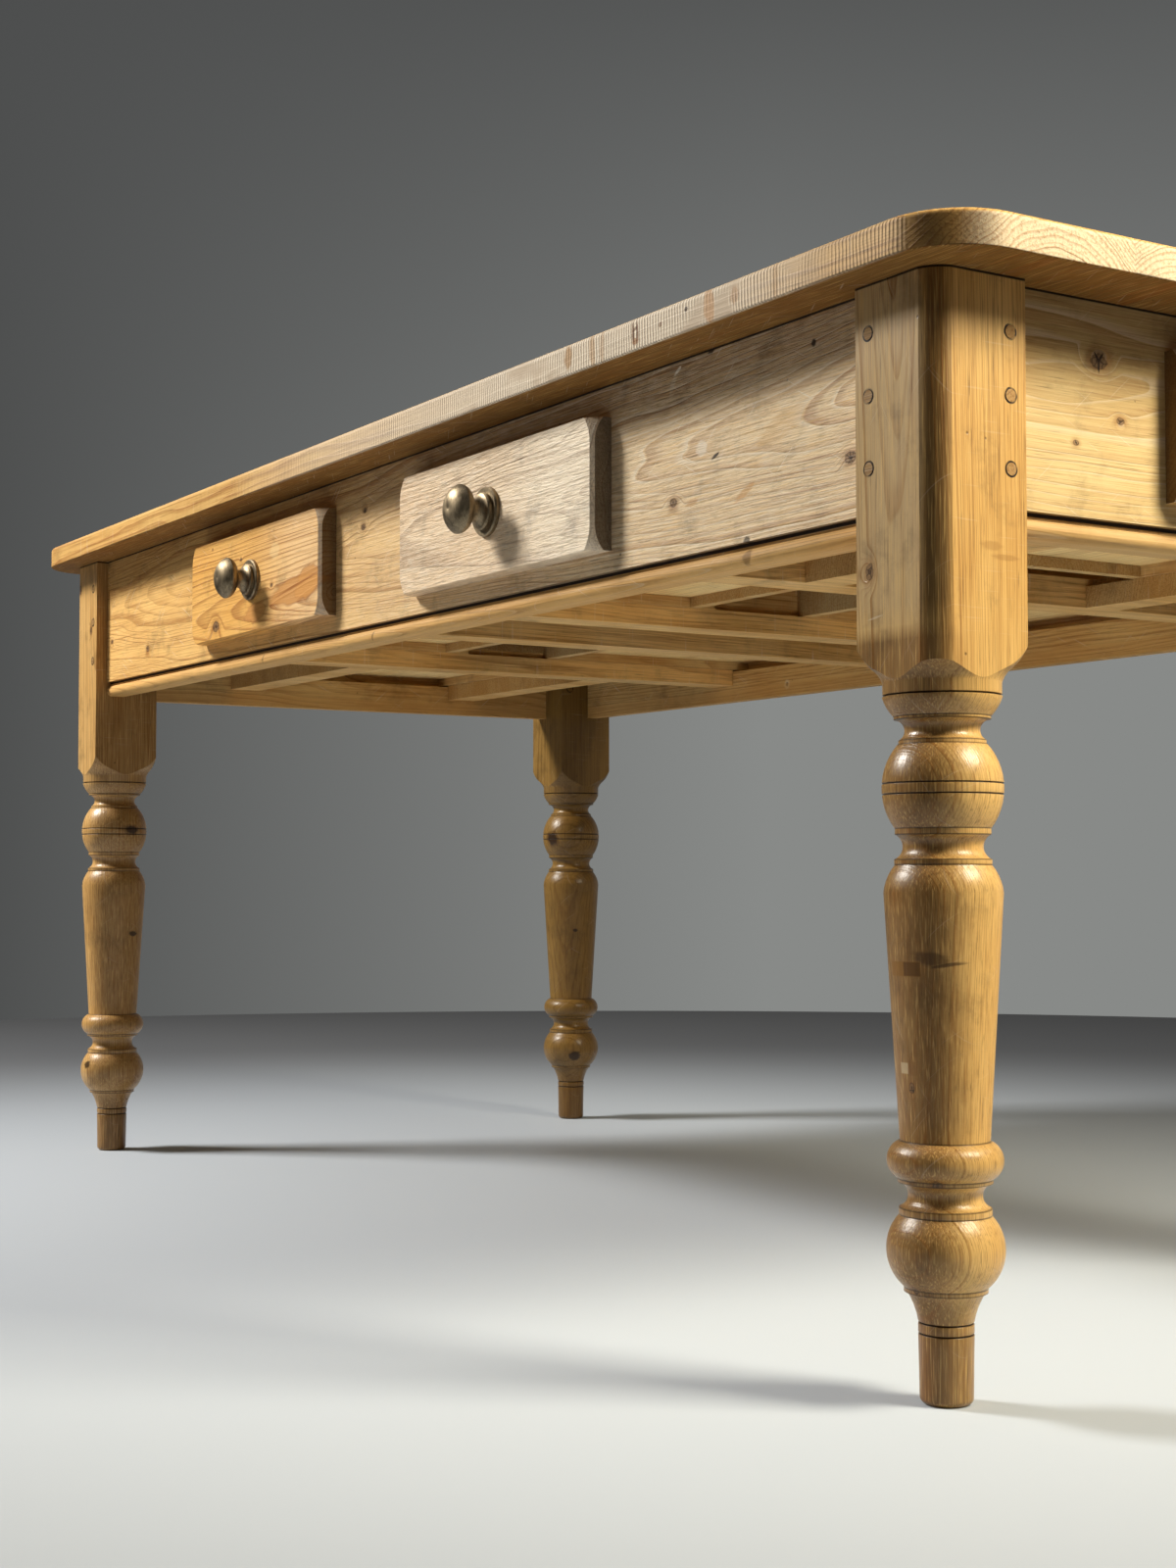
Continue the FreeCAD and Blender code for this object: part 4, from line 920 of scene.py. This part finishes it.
FLOOR_RADIUS = 3.35
studio_floor(FLOOR_RADIUS)
print("floor", 2 * FLOOR_RADIUS, "m across")


# %% Lamps
def lamp(name, place, aim, size, power, colour, spread=180):
    """A soft rectangular lamp at a place, facing a point; spread is the grid's angle in degrees."""
    data = bpy.data.lights.new(name, "AREA")
    data.shape, data.size, data.size_y, data.energy = "RECTANGLE", size[0], size[1], power
    data.spread = math.radians(spread)
    data.color = linear(colour)[:3]
    made = bpy.data.objects.new(name, data)
    made.location = place
    made.rotation_mode = "QUATERNION"
    made.rotation_quaternion = (Vector(place) - Vector(aim)).to_track_quat("Z", "Y")
    bpy.context.scene.collection.objects.link(made)


lamp("left softbox", (-1.9, -2.1, 2.55), (0, -0.3, 0.5), (0.8, 0.7), 153, "#fffaf0")
lamp("right softbox", (1.8, 0.5, 1.65), (0.8, -0.3, 0.5), (0.6, 0.6), 31.5, "#fff4da", 130)
lamp("top softbox", (0.3, -0.7, 3.9), (0, 0, 0.5), (2.5, 2.5), 8, "#ffffff")
print(len(bpy.data.lights), "lamps")

# %% Wall
world = bpy.data.worlds.new("studio")
bpy.context.scene.world = world
world.use_nodes = True
tree = world.node_tree
tree.nodes.clear()
node = functools.partial(add, tree)
# The wall is painted with light and shade: dark to the left, lighter to the right and darker again
# high up.
towards = node("TexCoord").outputs["Generated"]
right = node("VectorMath", {0: towards, 1: (0.53, 0.848, 0.0)}, operation="DOT_PRODUCT")
right = node("MapRange", {"Value": right.outputs["Value"], "From Min": -0.3, "From Max": 0.08})
up = node("SeparateXYZ", {0: towards}).outputs["Z"]
up = node("MapRange", {"Value": up, "From Min": 0.1, "From Max": 0.42})
wall = coats(tree, "#454646", [(right, "#888a88"), (up, "#4c4d4d")])
rays = node("LightPath").outputs
seen = node("Math", {0: rays["Is Camera Ray"], 1: rays["Is Glossy Ray"]}, operation="MAXIMUM")
seen = node("Math", {0: seen, 1: rays["Is Transmission Ray"]}, operation="MAXIMUM")
fill = node("Background", {"Color": "#ffe4c4", "Strength": 0.04})
back = node("Background", {"Color": wall, "Strength": 1.0})
node("OutputWorld", {0: node("MixShader", {0: seen, 1: fill, 2: back})})

# %% Camera
camera_data = bpy.data.cameras.new("camera")
camera_data.lens, camera_data.sensor_width = 50.3, 36.0
camera = bpy.data.objects.new("camera", camera_data)
bpy.context.scene.collection.objects.link(camera)
camera.location = (1.8827, -1.2996, 0.34115)
yaw, pitch = math.radians(32.0), math.radians(2.446)
ahead = Vector((-math.cos(yaw) * math.cos(pitch), math.sin(yaw) * math.cos(pitch), math.sin(pitch)))
camera.rotation_mode = "QUATERNION"
camera.rotation_quaternion = ahead.to_track_quat("-Z", "Y")
bpy.context.scene.camera = camera
bpy.context.scene.view_settings.view_transform = "Standard"
print("camera", round(camera.location.z, 2), "m above the floor, lens", camera_data.lens, "mm")
